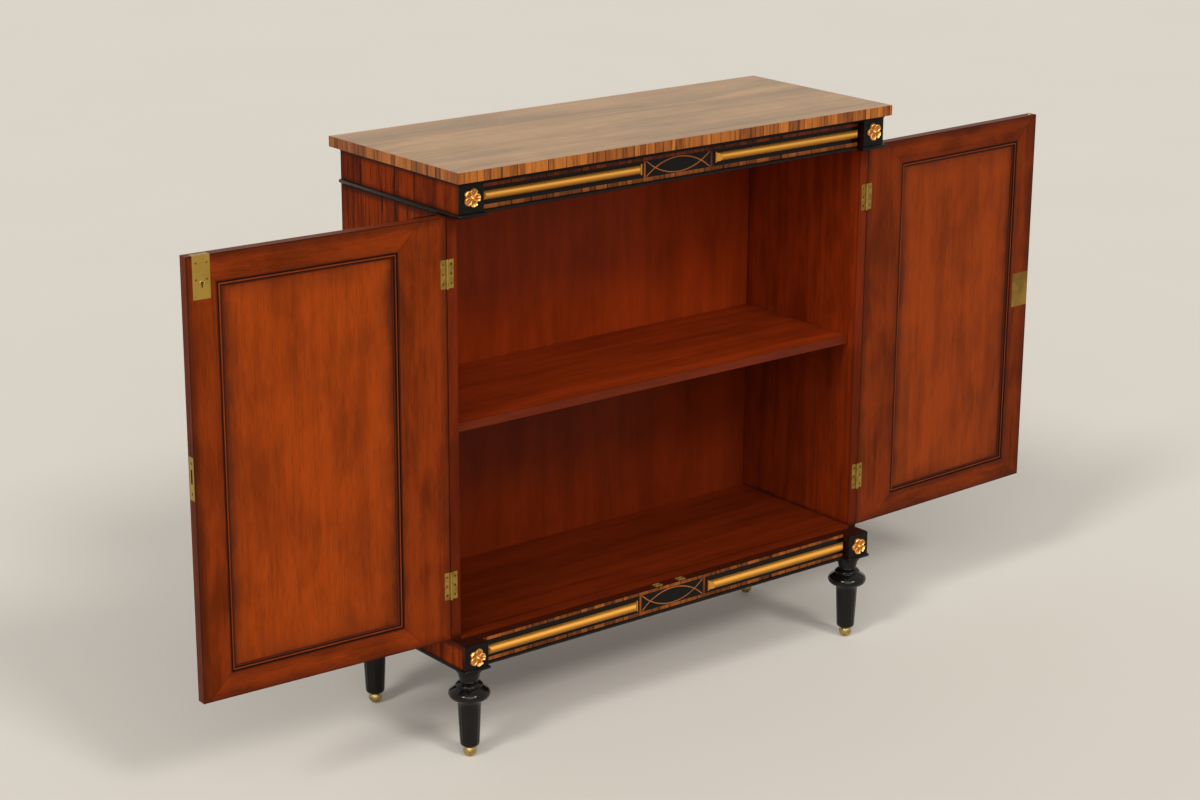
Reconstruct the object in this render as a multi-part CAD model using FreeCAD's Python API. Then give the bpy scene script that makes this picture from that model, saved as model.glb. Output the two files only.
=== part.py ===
import FreeCAD, Part
import math
import os

# A low two-door cabinet with mirrors on the outer faces of its doors, shown with both doors swung
# open. The origin is on the floor under the middle of the top board, +X to the right, +Y to the
# back and +Z up. All sizes are in millimetres.

Vec = FreeCAD.Vector
X_AXIS = Vec(1, 0, 0)
Y_AXIS = Vec(0, 1, 0)
Z_AXIS = Vec(0, 0, 1)

# Overall sizes and the top board
top_width = 1010.0
top_depth = 397.0
total_height = 1085.0
top_thick = 19.0
edge_band = 2.5
front_overhang = 12.0
back_overhang = 21.5
side_overhang = 10.0
cove_high = 6.0
cove_reach = 6.5
cove_lip = 0.8
cove_bend_shares = (0.3, 0.55)

# Carcass
side_thick = 20.0
field_recess = 17.0
rail_thick = 17.2
layer_thick = 4.0
inlay_deep = 1.5
back_thick = 6.0
back_rebate = 10.0
ceiling_thick = 16.0
board_thick = 18.0
board_rise = 6.0

# Frieze over the doors
frieze_high = 63.0
frieze_bead_high = 6.5
frieze_bead_proud = 5.0
frieze_low_band = 7.0
frieze_ground_high = 31.0
frieze_high_band = 5.5
frieze_rod_r = 7.6
frieze_rod_raise = 1.2

# Plinth under the doors
plinth_step = 2.0
plinth_high = 53.0
plinth_bead_high = 7.5
plinth_bead_proud = 3.0
plinth_low_band = 6.5
plinth_ground_high = 33.5
plinth_rod_r = 8.0
plinth_rod_drop = 1.3
plinth_rail_thick = 18.0

# Corner blocks, rosettes, rods and the middle plaques
block_width = 51.0
face_plate = 3.0
rosette_core_r = 9.0
rosette_core_high = 3.0
rosette_petal_r = 6.9
rosette_petal_ring = 11.1
rosette_petal_high = 4.2
rosette_petal_round = 1.3
rosette_eye_r = 4.2
rosette_turn = -20.0
upper_rosette_lift = 1.7
lower_rosette_lift = 1.5
petal_count = 5
rod_stem = 3.0
rod_end = 86.5
rod_cap_long = 2.5
rod_cap_margin = 2.2
upright_wide = 4.5
plaque_half = 76.0
string_wide = 2.0
string_margin = 0.8
string_inset = 2.0

# Shelf and its pegs
shelf_raise = 5.0
shelf_thick = 16.0
shelf_setback = 18.0
shelf_gap = 2.0
peg_r = 3.0
peg_deep = 9.0
peg_proud = 11.0
peg_flat = 0.8
peg_inset = 38.0

# Legs and ball feet
leg_high = 172.0
leg_pin_r = 7.0
leg_pin_high = 28.0
front_leg_inset = 1.5
rear_leg_inset = 32.0
rear_block_side = 35.0
collar_r = 23.6
collar_high = 6.0
collar_step_r = 20.6
collar_step = 3.6
neck_r = 16.9
neck_drop = 23.5
cup_lip_r = 25.3
cup_lip_drop = 30.5
cup_waist_r = 23.9
cup_waist_drop = 33.5
flange_r = 38.0
flange_top_drop = 40.5
flange_high = 17.0
flange_foot_r = 25.6
shaft_top_r = 21.4
shaft_top_drop = 67.5
shaft_foot_r = 17.8
shaft_foot_z = 21.5
shaft_round = 5.0
ball_r = 12.3
ball_flat_r = 4.0
leg_bend_shares = (0.3, 0.25, 0.72, 0.55)

# Doors
meeting_gap = 2.0
door_gap_low = 4.2
door_gap_top = 2.9
door_face_gap = 0.6
door_edge_gap = 1.8
door_thick = 19.0
free_stile = 55.0
hinge_stile = 97.2
low_rail = 44.8
high_rail = 48.3
panel_recess = 5.0
panel_thick = 6.0
panel_play = 0.2
mirror_thick = 4.0
mould_wide = 10.0
# Each pair is a share of the moulding's width inwards and a share of its height over the panel
mould_shares = ((0, 0), (0, 0.96), (0.08, 0.96), (0.11, 0.62), (0.19, 0.62), (0.24, 0.84), (0.34, 0.98),
                (0.46, 0.98), (0.56, 0.84), (0.61, 0.5), (0.69, 0.5), (0.78, 0.3), (1, 0.14), (1, 0))
mirror_frame_wide = 14.0
mirror_frame_proud = 3.0
open_angle = 182.5

# Pilaster on the outer face of each door
pilaster_wide = 45.0
pilaster_inset = 4.0
pilaster_thick = 5.0
pilaster_end_gap = 1.0
pilaster_rod_r = 8.0
pilaster_rod_gap = 17.0
plinth_pad = 6.0

# Hinges and their screws
axis_inset = 0.3
hinge_high = 51.0
hinge_rise = 102.3
hinge_drop = 100.0
leaf_reach = 13.5
leaf_thick = 1.6
barrel_r = 3.0
hinge_pin_r = 1.4
pin_fit = 0.05
knuckle_gap = 0.2
knuckle_count = 5
pin_cap_r = 2.2
pin_cap_high = 1.2
screw_head_r = 2.4
screw_head_high = 1.2
screw_shank_r = 1.1
screw_long = 9.0
screw_slot = 0.5
screw_spread = 17.0
slip = 0.3

# Locks, bolts and strikes
lock_depth = 13.5
lock_wall = 1.6
bolt_travel = 10.0
middle_depth = 9.5
upright_lock_from_edge = 11.5
upright_lock_wide = 32.0
upright_lock_high = 73.0
upright_bolt_from_edge = 24.8
upright_bolt_wide = 7.0
upright_bolt_thick = 4.0
upright_bolt_long = 52.0
bolt_tail_wide = 15.0
bolt_tail_high = 14.0
talon_r = 3.0
keyhole_from_edge = 28.5
keyhole_drop = 46.5
keyhole_r = 2.7
keyhole_slot = 2.2
keyhole_long = 7.5
drill_pin_r = 1.0
cross_lock_wide = 47.0
cross_lock_high = 71.0
cross_lock_raise = 22.35
cross_bolt_drop = 8.5
cross_bolt_high = 22.0
cross_bolt_thick = 4.0
cross_bolt_long = 36.0
edge_plate_drop = 40.5
edge_plate_high = 75.0
edge_plate_wide = 16.0
edge_plate_thick = 1.5
edge_slot_high = 25.0
edge_slot_wide = 5.6
edge_screw_margin = 11.0
pocket_deep = 13.0
strike_long = 26.0
strike_wide = 12.0
strike_thick = 1.5
escutcheon_r = 9.0
escutcheon_thick = 1.5

# Spring catches in the door edges and their keepers
catch_from_edge = 27.0
catch_sleeve_r = 4.5
catch_sleeve_high = 17.0
plunger_r = 3.0
plunger_long = 11.0
plunger_room = 3.0
keeper_long = 16.0
keeper_wide = 12.0
keeper_thick = 1.2
keeper_hole_r = 2.6
keeper_clear = 0.4
bullet_from_edge = 11.8
bullet_strike_long = 19.0

# One overrun for every cut
over = 1.0


# Planes that the sizes above fix
top_front = -top_depth / 2
top_back = top_depth / 2
top_under = total_height - top_thick
side_out = top_width / 2 - side_overhang
side_in = side_out - side_thick
plinth_out = side_out - plinth_step
frieze_bottom = top_under - frieze_high
plinth_bottom = leg_high
ledge_top = plinth_bottom + plinth_high
block_face = top_front + front_overhang
field = block_face + field_recess
rail_front = field + layer_thick
carcass_front = rail_front + rail_thick
carcass_back = top_back - back_overhang
back_inner = carcass_back - back_thick
board_top = ledge_top + board_rise
board_under = board_top - board_thick
shelf_top = (board_top + frieze_bottom) / 2 + shelf_raise
axis_x = side_out - axis_inset
axis_y = carcass_front - door_face_gap / 2
door_inner = carcass_front - door_face_gap
door_outer = door_inner - door_thick
door_mid = door_inner - middle_depth
door_low = ledge_top + door_gap_low
door_high = frieze_bottom - door_gap_top
hinge_zs = (door_low + hinge_rise, door_high - hinge_drop)
cross_lock_z = (door_low + door_high) / 2 + cross_lock_raise
cross_bolt_z = cross_lock_z - cross_bolt_drop
edge_plate_low = cross_bolt_z - edge_plate_drop
free_x = meeting_gap / 2
hinge_x = axis_x - door_edge_gap
frieze_ground_low = frieze_bottom + frieze_bead_high + frieze_low_band
frieze_ground_top = frieze_ground_low + frieze_ground_high
plinth_ground_low = plinth_bottom + plinth_bead_high + plinth_low_band
plinth_ground_top = plinth_ground_low + plinth_ground_high
opening_x0 = free_x + free_stile
opening_x1 = hinge_x - hinge_stile
opening_z0 = door_low + low_rail
opening_z1 = door_high - high_rail
panel_face = door_inner - panel_recess
mirror_back = panel_face - panel_thick
mirror_face = mirror_back - mirror_thick


def box(x0, x1, y0, y1, z0, z1):
    """A block between two values along each axis, given in either order."""
    low = Vec(min(x0, x1), min(y0, y1), min(z0, z1))
    size = Vec(abs(x1 - x0), abs(y1 - y0), abs(z1 - z0))
    return Part.makeBox(size.x, size.y, size.z, low)


def mirrored(shape):
    """The same shape on the other side of the cabinet."""
    return shape.mirror(Vec(0, 0, 0), X_AXIS)


def pair(shape):
    """The shape and its mirror image."""
    return [mirrored(shape), shape]


def cut_all(shape, tools):
    """The shape with every tool cut out of it."""
    for tool in tools:
        shape = shape.cut(tool)
    return shape


def polygon(points):
    """A flat face through the given points."""
    return Part.Face(Part.makePolygon(points + [points[0]]))


def half_round(wall, out, low, high):
    """Profile of a bead on a wall at Y = wall: a shallow arc between its two edges."""
    foot = Vec(0, wall, low)
    head = Vec(0, wall, high)
    crest = Vec(0, wall - out, (low + high) / 2)
    arc = Part.Arc(foot, crest, head).toShape()
    back = Part.LineSegment(head, foot).toShape()
    return Part.Wire([arc, back])


def along_path(profile, corners):
    """Sweep a closed profile along straight runs with mitred corners."""
    spine = Part.makePolygon(corners)
    start = corners[0]
    heading = corners[1] - start
    angle = math.degrees(math.atan2(heading.y, heading.x))
    section = profile.copy()
    section.rotate(Vec(0, 0, 0), Z_AXIS, angle)
    section.translate(Vec(start.x, start.y, 0))
    sweep = Part.BRepOffsetAPI.MakePipeShell(spine)
    sweep.setTransitionMode(1)
    sweep.add(section)
    sweep.build()
    sweep.makeSolid()
    return sweep.shape()


def screw(at, into, grow=0.0, slotted=True):
    """A countersunk wood screw whose head lies flush at a point, or the hole that it sits in."""
    cone = Part.makeCone(screw_head_r + grow, screw_shank_r + grow, screw_head_high, at, into)
    shank = Part.makeCylinder(screw_shank_r + grow, screw_long + grow, at, into)
    body = cone.fuse(shank)
    if not slotted:
        return body
    blade = box(-screw_head_r, screw_head_r, -screw_slot / 2, screw_slot / 2, 0, screw_slot)
    blade.Placement = FreeCAD.Placement(at, FreeCAD.Rotation(Z_AXIS, into))
    return body.cut(blade)


def screw_hole(at, into):
    """The hole for a screw, a shade larger than the screw."""
    return screw(at, into, pin_fit, False)


def d_rod(x0, x1, wall, centre_z, radius):
    """A gilt rod of D section on a wall at Y = wall, its two ends mitred back to the wall."""
    crest_y = wall - rod_stem - radius
    round_part = Part.makeCylinder(radius, x1 - x0, Vec(x0, wall - rod_stem, centre_z), X_AXIS)
    stem = box(x0, x1, wall, wall - rod_stem, centre_z - radius, centre_z + radius)
    half = box(x0, x1, wall, wall - rod_stem - radius - over, centre_z - radius, centre_z + radius)
    rod = round_part.common(half).fuse(stem).removeSplitter()
    inset = rod_stem + radius
    plan = [Vec(x0, wall, centre_z - radius), Vec(x1, wall, centre_z - radius),
            Vec(x1 - inset, crest_y, centre_z - radius), Vec(x0 + inset, crest_y, centre_z - radius)]
    return rod.common(polygon(plan).extrude(Vec(0, 0, radius + radius)))


def mitred_frame(x0, x1, z0, z1, profile, width):
    """Four mitred strips round a rectangle; the profile runs inwards from its outer line."""
    middle_x = (x0 + x1) / 2
    middle_z = (z0 + z1) / 2
    strips = []
    spans = ((z0, middle_z, x1 - x0, 0), (x0, middle_x, z1 - z0, -90),
             (z1, middle_z, x1 - x0, 180), (x1, middle_x, z1 - z0, 90))
    for edge, middle, length, turn in spans:
        reach = abs(edge - middle)
        strip = profile.extrude(Vec(length, 0, 0))
        strip.translate(Vec(-length / 2, 0, -reach))
        low = profile.BoundBox.YMin - over
        deep = profile.BoundBox.YMax - low + over
        trapezium = [Vec(-length / 2, low, -reach), Vec(length / 2, low, -reach),
                     Vec(length / 2 - width, low, width - reach),
                     Vec(width - length / 2, low, width - reach)]
        strip = strip.common(polygon(trapezium).extrude(Vec(0, deep, 0)))
        strip.rotate(Vec(0, 0, 0), Y_AXIS, -turn)
        strip.translate(Vec(middle_x, 0, middle_z))
        strips.append(strip)
    return strips


def keyhole(x, y_from, y_to, z):
    """A keyhole cut from one depth to another: a round eye with a slot below it."""
    eye = Part.makeCylinder(keyhole_r, abs(y_to - y_from), Vec(x, min(y_from, y_to), z), Y_AXIS)
    slot = box(x - keyhole_slot / 2, x + keyhole_slot / 2, y_from, y_to, z - keyhole_long, z)
    return eye.fuse(slot)


def save(name, solids):
    """Write one sub-part, holding one or more separate solids."""
    shape = solids[0] if len(solids) == 1 else Part.makeCompound(solids)
    if not shape.isValid():
        print("not valid:", name)
    shape.exportStep(os.path.join("parts", name + ".step"))
    print(name, len(shape.Solids), round(shape.Volume))


# Carcass

def leaf_screws(z, door):
    """Heads and directions of the three screws in one hinge leaf, doors closed."""
    x = axis_x - (barrel_r + slip + leaf_reach) / 2
    y = door_inner if door else carcass_front
    into = -Y_AXIS if door else Y_AXIS
    return [(Vec(x, y, z + step * screw_spread), into) for step in (-1, 0, 1)]


def hinge_room(z, door):
    """Wood taken out for one hinge: the leaf's recess, the barrel's notch and the screw holes."""
    y = door_inner if door else carcass_front
    deep = -leaf_thick if door else leaf_thick
    low = z - hinge_high / 2
    recess = box(axis_x - leaf_reach, axis_x + over, y, y + deep, low, low + hinge_high)
    notch = Part.makeCylinder(barrel_r + slip, hinge_high + pin_cap_high * 2 + slip * 2,
                              Vec(axis_x, axis_y, low - pin_cap_high - slip))
    return [recess, notch] + [screw_hole(at, into) for at, into in leaf_screws(z, door)]


def hinge_leaf(z, door):
    """One leaf with its own knuckles, doors closed. The leaf on the cabinet has the outer ones."""
    y = door_inner if door else carcass_front
    deep = -leaf_thick if door else leaf_thick
    low = z - hinge_high / 2
    plate = box(axis_x - leaf_reach, axis_x - barrel_r - slip, y, y + deep, low, low + hinge_high)
    pitch = hinge_high / knuckle_count
    for index in range(knuckle_count):
        if (index % 2 == 1) != door:
            continue
        start = low + index * pitch + knuckle_gap / 2
        high = pitch - knuckle_gap
        web = box(axis_x - barrel_r - slip - over, axis_x, y, y + deep, start, start + high)
        plate = plate.fuse(web)
        plate = plate.fuse(Part.makeCylinder(barrel_r, high, Vec(axis_x, axis_y, start)))
    bore = Part.makeCylinder(hinge_pin_r + pin_fit, hinge_high + over * 2, Vec(axis_x, axis_y, low - over))
    holes = [screw_hole(at, into) for at, into in leaf_screws(z, door)]
    return cut_all(plate, [bore] + holes).removeSplitter()


def hinge_pin(z):
    """The loose pin, with a cap above and below the barrel."""
    low = z - hinge_high / 2
    end = hinge_high - knuckle_gap
    foot = low + knuckle_gap / 2
    pin = Part.makeCylinder(hinge_pin_r, end, Vec(axis_x, axis_y, foot))
    upper = Part.makeCylinder(pin_cap_r, pin_cap_high, Vec(axis_x, axis_y, foot + end))
    lower = Part.makeCylinder(pin_cap_r, pin_cap_high, Vec(axis_x, axis_y, foot - pin_cap_high))
    return pin.fuse([upper, lower]).removeSplitter()


def back_panel():
    reach = side_in + back_rebate
    return box(-reach, reach, back_inner, carcass_back, board_under, top_under)


def bottom_board():
    return box(-side_in, side_in, carcass_front, back_inner, board_under, board_top)


def shelf():
    reach = side_in - shelf_gap
    return box(-reach, reach, carcass_front + shelf_setback, back_inner - shelf_gap,
               shelf_top - shelf_thick, shelf_top)


def peg_places():
    """Y of the front and back pegs, and the height of their middle."""
    z = shelf_top - shelf_thick - peg_r + peg_flat
    return [(y, z) for y in (carcass_front + shelf_setback + peg_inset, back_inner - peg_inset)]


def shelf_peg(y, z):
    """A peg in the right side whose inner half is flattened where the shelf rests."""
    peg = Part.makeCylinder(peg_r, peg_deep + peg_proud, Vec(side_in - peg_proud, y, z), X_AXIS)
    above = box(side_in - peg_proud - over, side_in, y - peg_r - over, y + peg_r + over,
                shelf_top - shelf_thick, shelf_top)
    return peg.cut(above)


def side_panel():
    """The right side, from the plinth to the top board."""
    side = box(side_in, side_out, carcass_front, carcass_back, ledge_top, top_under)
    cuts = [back_panel()]
    for z in hinge_zs:
        cuts += hinge_room(z, False)
    for y, z in peg_places():
        cuts.append(Part.makeCylinder(peg_r + pin_fit, peg_deep + pin_fit, Vec(side_in, y, z), X_AXIS))
    return cut_all(side, cuts)


def top_board():
    """The board inside its edge banding, which leaves the back edge bare."""
    half = top_width / 2 - edge_band
    return box(-half, half, top_front + edge_band, top_back, top_under, total_height)


def top_banding():
    """Three strips round the front and side edges, mitred at the front corners."""
    half = top_width / 2
    inner = half - edge_band
    front = [Vec(-half, top_front, top_under), Vec(half, top_front, top_under),
             Vec(inner, top_front + edge_band, top_under), Vec(-inner, top_front + edge_band, top_under)]
    side = [Vec(half, top_front, top_under), Vec(half, top_back, top_under),
            Vec(inner, top_back, top_under), Vec(inner, top_front + edge_band, top_under)]
    rise = Vec(0, 0, top_thick)
    return [polygon(front).extrude(rise)] + pair(polygon(side).extrude(rise))


def top_cove():
    """A hollow moulding under the top board along the front and both sides."""
    low = top_under - cove_high
    foot = Vec(0, 0, low)
    root = Vec(0, 0, top_under)
    tip = Vec(0, -cove_reach, top_under)
    lip = Vec(0, -cove_reach, top_under - cove_lip)
    bend = Vec(0, -cove_reach * cove_bend_shares[0], low + cove_high * cove_bend_shares[1])
    edges = [Part.LineSegment(foot, root).toShape(), Part.LineSegment(root, tip).toShape(),
             Part.LineSegment(tip, lip).toShape(), Part.Arc(lip, bend, foot).toShape()]
    path = [Vec(-side_out, carcass_back, 0), Vec(-side_out, block_face, 0),
            Vec(side_out, block_face, 0), Vec(side_out, carcass_back, 0)]
    return along_path(Part.Wire(edges), path)


# Decorated rails above and below the doors

def frieze_rail():
    """The structural rail of the frieze, with the pockets for the bolt and the bullet catch."""
    rail = box(-side_out, side_out, rail_front, carcass_front, frieze_bottom, top_under)
    cuts = [strike_recess(-free_x - upright_bolt_from_edge, strike_long),
            strike_recess(free_x + bullet_from_edge, bullet_strike_long), bolt_pocket(), bullet_pocket()]
    cuts += [screw_hole(at, Z_AXIS) for at in strike_screw_places()]
    return cut_all(rail, cuts)


def strike_recess(x, length):
    return box(x - length / 2, x + length / 2, door_mid - strike_wide / 2, door_mid + strike_wide / 2,
               frieze_bottom, frieze_bottom + strike_thick)


def bolt_pocket():
    """The hole that the left door's bolt shoots up into."""
    x = -free_x - upright_bolt_from_edge
    wide = upright_bolt_wide / 2 + slip + slip
    deep = upright_bolt_thick / 2 + slip + slip
    return box(x - wide, x + wide, door_mid - deep, door_mid + deep, frieze_bottom - over,
               frieze_bottom + pocket_deep)


def bullet_pocket():
    """The hole over the right door's bullet catch."""
    at = Vec(free_x + bullet_from_edge, door_mid, frieze_bottom - over)
    return Part.makeCylinder(plunger_r + slip, over + strike_thick + plunger_room, at)


def strike_screw_places():
    """Heads of the screws that hold the two strikes, seen from below."""
    places = []
    for x, length in ((-free_x - upright_bolt_from_edge, strike_long),
                      (free_x + bullet_from_edge, bullet_strike_long)):
        reach = length / 2 - screw_head_r - strike_thick / 2
        places += [Vec(x - reach, door_mid, frieze_bottom), Vec(x + reach, door_mid, frieze_bottom)]
    return places


def frieze_strikes():
    """Brass plates let into the underside of the frieze over the bolt and the bullet catch."""
    bolt = strike_recess(-free_x - upright_bolt_from_edge, strike_long).cut(bolt_pocket())
    bullet = strike_recess(free_x + bullet_from_edge, bullet_strike_long).cut(bullet_pocket())
    holes = [screw_hole(at, Z_AXIS) for at in strike_screw_places()]
    return [cut_all(bolt, holes), cut_all(bullet, holes)]


def block_inner(outer):
    """X of a corner block's inner side, from the X of its outer side."""
    return outer - block_width


def ground_board(low, high, outer, inlays):
    """The black board behind one decorated rail, with its inlays taken out."""
    reach = block_inner(outer)
    return cut_all(box(-reach, reach, field, rail_front, low, high), inlays)


def bandings(ground_low, ground_top, low_band, high_band, outer):
    """Rosewood strips along a rail's ground and beside its plaque."""
    reach = block_inner(outer)
    back = field + inlay_deep
    low = box(-reach, reach, field, back, ground_low - low_band, ground_low)
    high = box(-reach, reach, field, back, ground_top, ground_top + high_band)
    side = box(plaque_half, plaque_half + upright_wide, field, back, ground_low, ground_top)
    return [low, high] + pair(side)


def plaque(ground_low, ground_top):
    """The black plate in the middle of a rail, before its stringing is let in."""
    return box(-plaque_half, plaque_half, field, rail_front, ground_low, ground_top)


def stringing(ground_low, ground_top):
    """Two thin arcs that cross, one bowed up and one bowed down."""
    low = ground_low + string_margin
    high = ground_top - string_margin
    half = plaque_half - string_inset
    rise = high - low - string_wide
    radius = (half * half + rise * rise) / (2 * rise)
    window = box(-half, half, field, field + inlay_deep, low, high)
    arcs = []
    for sign, edge in ((1, high), (-1, low)):
        centre = Vec(0, field, edge - sign * radius)
        ring = Part.makeCylinder(radius, inlay_deep, centre, Y_AXIS)
        ring = ring.cut(Part.makeCylinder(radius - string_wide, inlay_deep, centre, Y_AXIS))
        arcs.append(ring.common(window))
    return arcs[0].fuse(arcs[1]).removeSplitter()


def rail_rods(ground_low, ground_top, lift, radius, outer):
    """The two gilt rods of a rail, from the corner blocks to a small end plate by the plaque."""
    centre = (ground_low + ground_top) / 2 + lift
    rod = d_rod(rod_end, block_inner(outer), field, centre, radius)
    half = radius + rod_cap_margin
    cap = box(rod_end, rod_end + rod_cap_long, field, field - rod_stem, centre - half, centre + half)
    return pair(rod.fuse(cap).removeSplitter())


def bead_path(outer):
    """Plan of a bead: along the sides, round the corner blocks and across the field."""
    reach = block_inner(outer)
    return [Vec(-outer, carcass_back, 0), Vec(-outer, block_face, 0), Vec(-reach, block_face, 0),
            Vec(-reach, field, 0), Vec(reach, field, 0), Vec(reach, block_face, 0),
            Vec(outer, block_face, 0), Vec(outer, carcass_back, 0)]


def upper_blocks():
    """Wooden corner blocks at the ends of the frieze, behind their black faces."""
    return pair(box(block_inner(side_out), side_out, block_face + face_plate, rail_front,
                    frieze_bottom, top_under))


def lower_block():
    """The right front corner post of the plinth, which takes the leg's pin."""
    post = box(block_inner(plinth_out), plinth_out, block_face + face_plate, block_face + block_width,
               plinth_bottom, ledge_top)
    return cut_all(post, [bottom_board(), leg_pin_hole(front_leg_place())])


def block_faces():
    """Thin black plates on the fronts of the four corner blocks."""
    upper = box(block_inner(side_out), side_out, block_face, block_face + face_plate,
                frieze_bottom, top_under)
    lower = box(block_inner(plinth_out), plinth_out, block_face, block_face + face_plate,
                plinth_bottom, ledge_top)
    return pair(upper) + pair(lower)


def rosette(x, z):
    """A carved flower of rounded petals round an eye, its back flat on the block."""
    at = Vec(x, block_face, z)
    flower = Part.makeCylinder(rosette_core_r, rosette_core_high, at, -Y_AXIS)
    for index in range(petal_count):
        turn = math.radians(rosette_turn) + 2 * math.pi * index / petal_count
        place = at + Vec(math.sin(turn), 0, math.cos(turn)) * rosette_petal_ring
        petal = Part.makeCylinder(rosette_petal_r, rosette_petal_high, place, -Y_AXIS)
        rim = [edge for edge in petal.Edges if abs(edge.CenterOfMass.y - place.y) > rosette_core_high]
        flower = flower.fuse(petal.makeFillet(rosette_petal_round, rim))
    eye = Part.makeSphere(rosette_eye_r, at - Y_AXIS * rosette_core_high)
    front = box(x - over - rosette_core_r, x + over + rosette_core_r, block_face,
                block_face - rosette_core_high - rosette_eye_r - over, z - rosette_core_r, z + rosette_core_r)
    return flower.fuse(eye.common(front)).removeSplitter()


def rosettes():
    upper_x = side_out - block_width / 2
    lower_x = plinth_out - block_width / 2
    upper_z = (frieze_bottom + frieze_bead_high + top_under - cove_high) / 2 + upper_rosette_lift
    lower_z = (plinth_bottom + ledge_top) / 2 + lower_rosette_lift
    return pair(rosette(upper_x, upper_z)) + pair(rosette(lower_x, lower_z))


def plinth_front_rail():
    reach = block_inner(plinth_out)
    rail = box(-reach, reach, rail_front, carcass_front, plinth_bottom, ledge_top)
    return cut_all(rail, keeper_holes())


def plinth_rails():
    """The side rails and the back rail of the plinth."""
    side = box(plinth_out - plinth_rail_thick, plinth_out, block_face + block_width, carcass_back,
               plinth_bottom, ledge_top).cut(back_panel()).cut(bottom_board())
    inner = plinth_out - plinth_rail_thick
    back = box(-inner, inner, carcass_back - plinth_rail_thick, carcass_back, plinth_bottom, board_under)
    return pair(side) + [back]


# Legs

def front_leg_place():
    """Middle of the right front leg, a little inwards of the middle of its square post."""
    middle = block_width / 2 + front_leg_inset
    return Vec(plinth_out - middle, block_face + middle, plinth_bottom)


def rear_leg_place():
    return Vec(plinth_out - block_width / 2, carcass_back - rear_leg_inset, plinth_bottom)


def leg_pin_hole(at):
    return Part.makeCylinder(leg_pin_r + pin_fit, leg_pin_high + over, at - Z_AXIS * over)


def rear_block():
    """The glue block inside the right back corner, which takes the leg's pin."""
    at = rear_leg_place()
    outer = plinth_out - plinth_rail_thick
    high = board_under
    deep = carcass_back - plinth_rail_thick
    wood = box(outer - rear_block_side, outer, deep - rear_block_side, deep, plinth_bottom, high)
    return wood.cut(leg_pin_hole(at))


def leg(at):
    """A turned leg: pin, stepped collar, neck, cup, wide flange and a tapered shaft."""
    top = plinth_bottom

    def spot(radius, z):
        return Vec(radius, 0, z)

    def line(start, end):
        return Part.LineSegment(start, end).toShape()

    pin_top = spot(0, top + leg_pin_high)
    pin_edge = spot(leg_pin_r, top + leg_pin_high)
    pin_foot = spot(leg_pin_r, top)
    collar = spot(collar_r, top)
    collar_low = spot(collar_r, top - collar_high)
    step_high = spot(collar_step_r, top - collar_high)
    step_low = spot(collar_step_r, top - collar_high - collar_step)
    neck = spot(neck_r, top - neck_drop)
    lip = spot(cup_lip_r, top - cup_lip_drop)
    neck_bend = spot(neck_r + (cup_lip_r - neck_r) * leg_bend_shares[0],
                     neck.z + (lip.z - neck.z) * leg_bend_shares[1])
    waist = spot(cup_waist_r, top - cup_waist_drop)
    flange_top = spot(flange_foot_r + (flange_r - flange_foot_r) * leg_bend_shares[2], top - flange_top_drop)
    flange_low = spot(flange_foot_r, top - flange_top_drop - flange_high)
    flange_crest = spot(flange_r, top - flange_top_drop - flange_high * leg_bend_shares[3])
    shaft_top = spot(shaft_top_r, top - shaft_top_drop)
    shaft_foot = spot(shaft_foot_r, shaft_foot_z + shaft_round)
    heel = spot(shaft_foot_r - shaft_round, shaft_foot_z)
    heel_bend = spot(shaft_foot_r - shaft_round * (1 - math.cos(math.pi / 4)),
                     shaft_foot_z + shaft_round * (1 - math.sin(math.pi / 4)))
    foot = spot(0, shaft_foot_z)
    edges = [line(pin_top, pin_edge), line(pin_edge, pin_foot), line(pin_foot, collar),
             line(collar, collar_low), line(collar_low, step_high), line(step_high, step_low),
             line(step_low, neck), Part.Arc(neck, neck_bend, lip).toShape(), line(lip, waist),
             line(waist, flange_top), Part.Arc(flange_top, flange_crest, flange_low).toShape(),
             line(flange_low, shaft_top), line(shaft_top, shaft_foot),
             Part.Arc(shaft_foot, heel_bend, heel).toShape(), line(heel, foot), line(foot, pin_top)]
    turned = Part.Face(Part.Wire(edges)).revolve(Vec(0, 0, 0), Z_AXIS, 360)
    turned.translate(Vec(at.x, at.y, 0))
    return turned


def ball_foot(at):
    """A brass ball with a small flat under it and a wider one under the shaft."""
    centre = math.sqrt(ball_r ** 2 - ball_flat_r ** 2)
    rise = shaft_foot_z - centre
    seat_r = math.sqrt(ball_r ** 2 - rise ** 2)
    foot = Vec(0, 0, 0)
    flat = Vec(ball_flat_r, 0, 0)
    side = Vec(ball_r, 0, centre)
    seat = Vec(seat_r, 0, shaft_foot_z)
    crown = Vec(0, 0, shaft_foot_z)
    edges = [Part.LineSegment(foot, flat).toShape(), Part.Arc(flat, side, seat).toShape(),
             Part.LineSegment(seat, crown).toShape(), Part.LineSegment(crown, foot).toShape()]
    ball = Part.Face(Part.Wire(edges)).revolve(Vec(0, 0, 0), Z_AXIS, 360)
    ball.translate(Vec(at.x, at.y, 0))
    return ball


def leg_places():
    places = []
    for at in (front_leg_place(), rear_leg_place()):
        places += [Vec(-at.x, at.y, at.z), at]
    return places


# Keepers on the ledge

def keeper_xs():
    return (-free_x - catch_from_edge, free_x + catch_from_edge)


def keeper_holes():
    """The dimples under the two keepers and the holes of their screws."""
    cuts = []
    for x in keeper_xs():
        at = Vec(x, door_mid, ledge_top + keeper_thick + over)
        cuts.append(Part.makeCylinder(keeper_hole_r, keeper_thick + over + plunger_room, at, -Z_AXIS))
    cuts += [screw_hole(at, -Z_AXIS) for at in keeper_screw_places()]
    return cuts


def keeper_screw_places():
    reach = keeper_long / 2 - screw_head_r - keeper_thick / 4
    z = ledge_top + keeper_thick
    return [Vec(x + side * reach, door_mid, z) for x in keeper_xs() for side in (-1, 1)]


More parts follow.
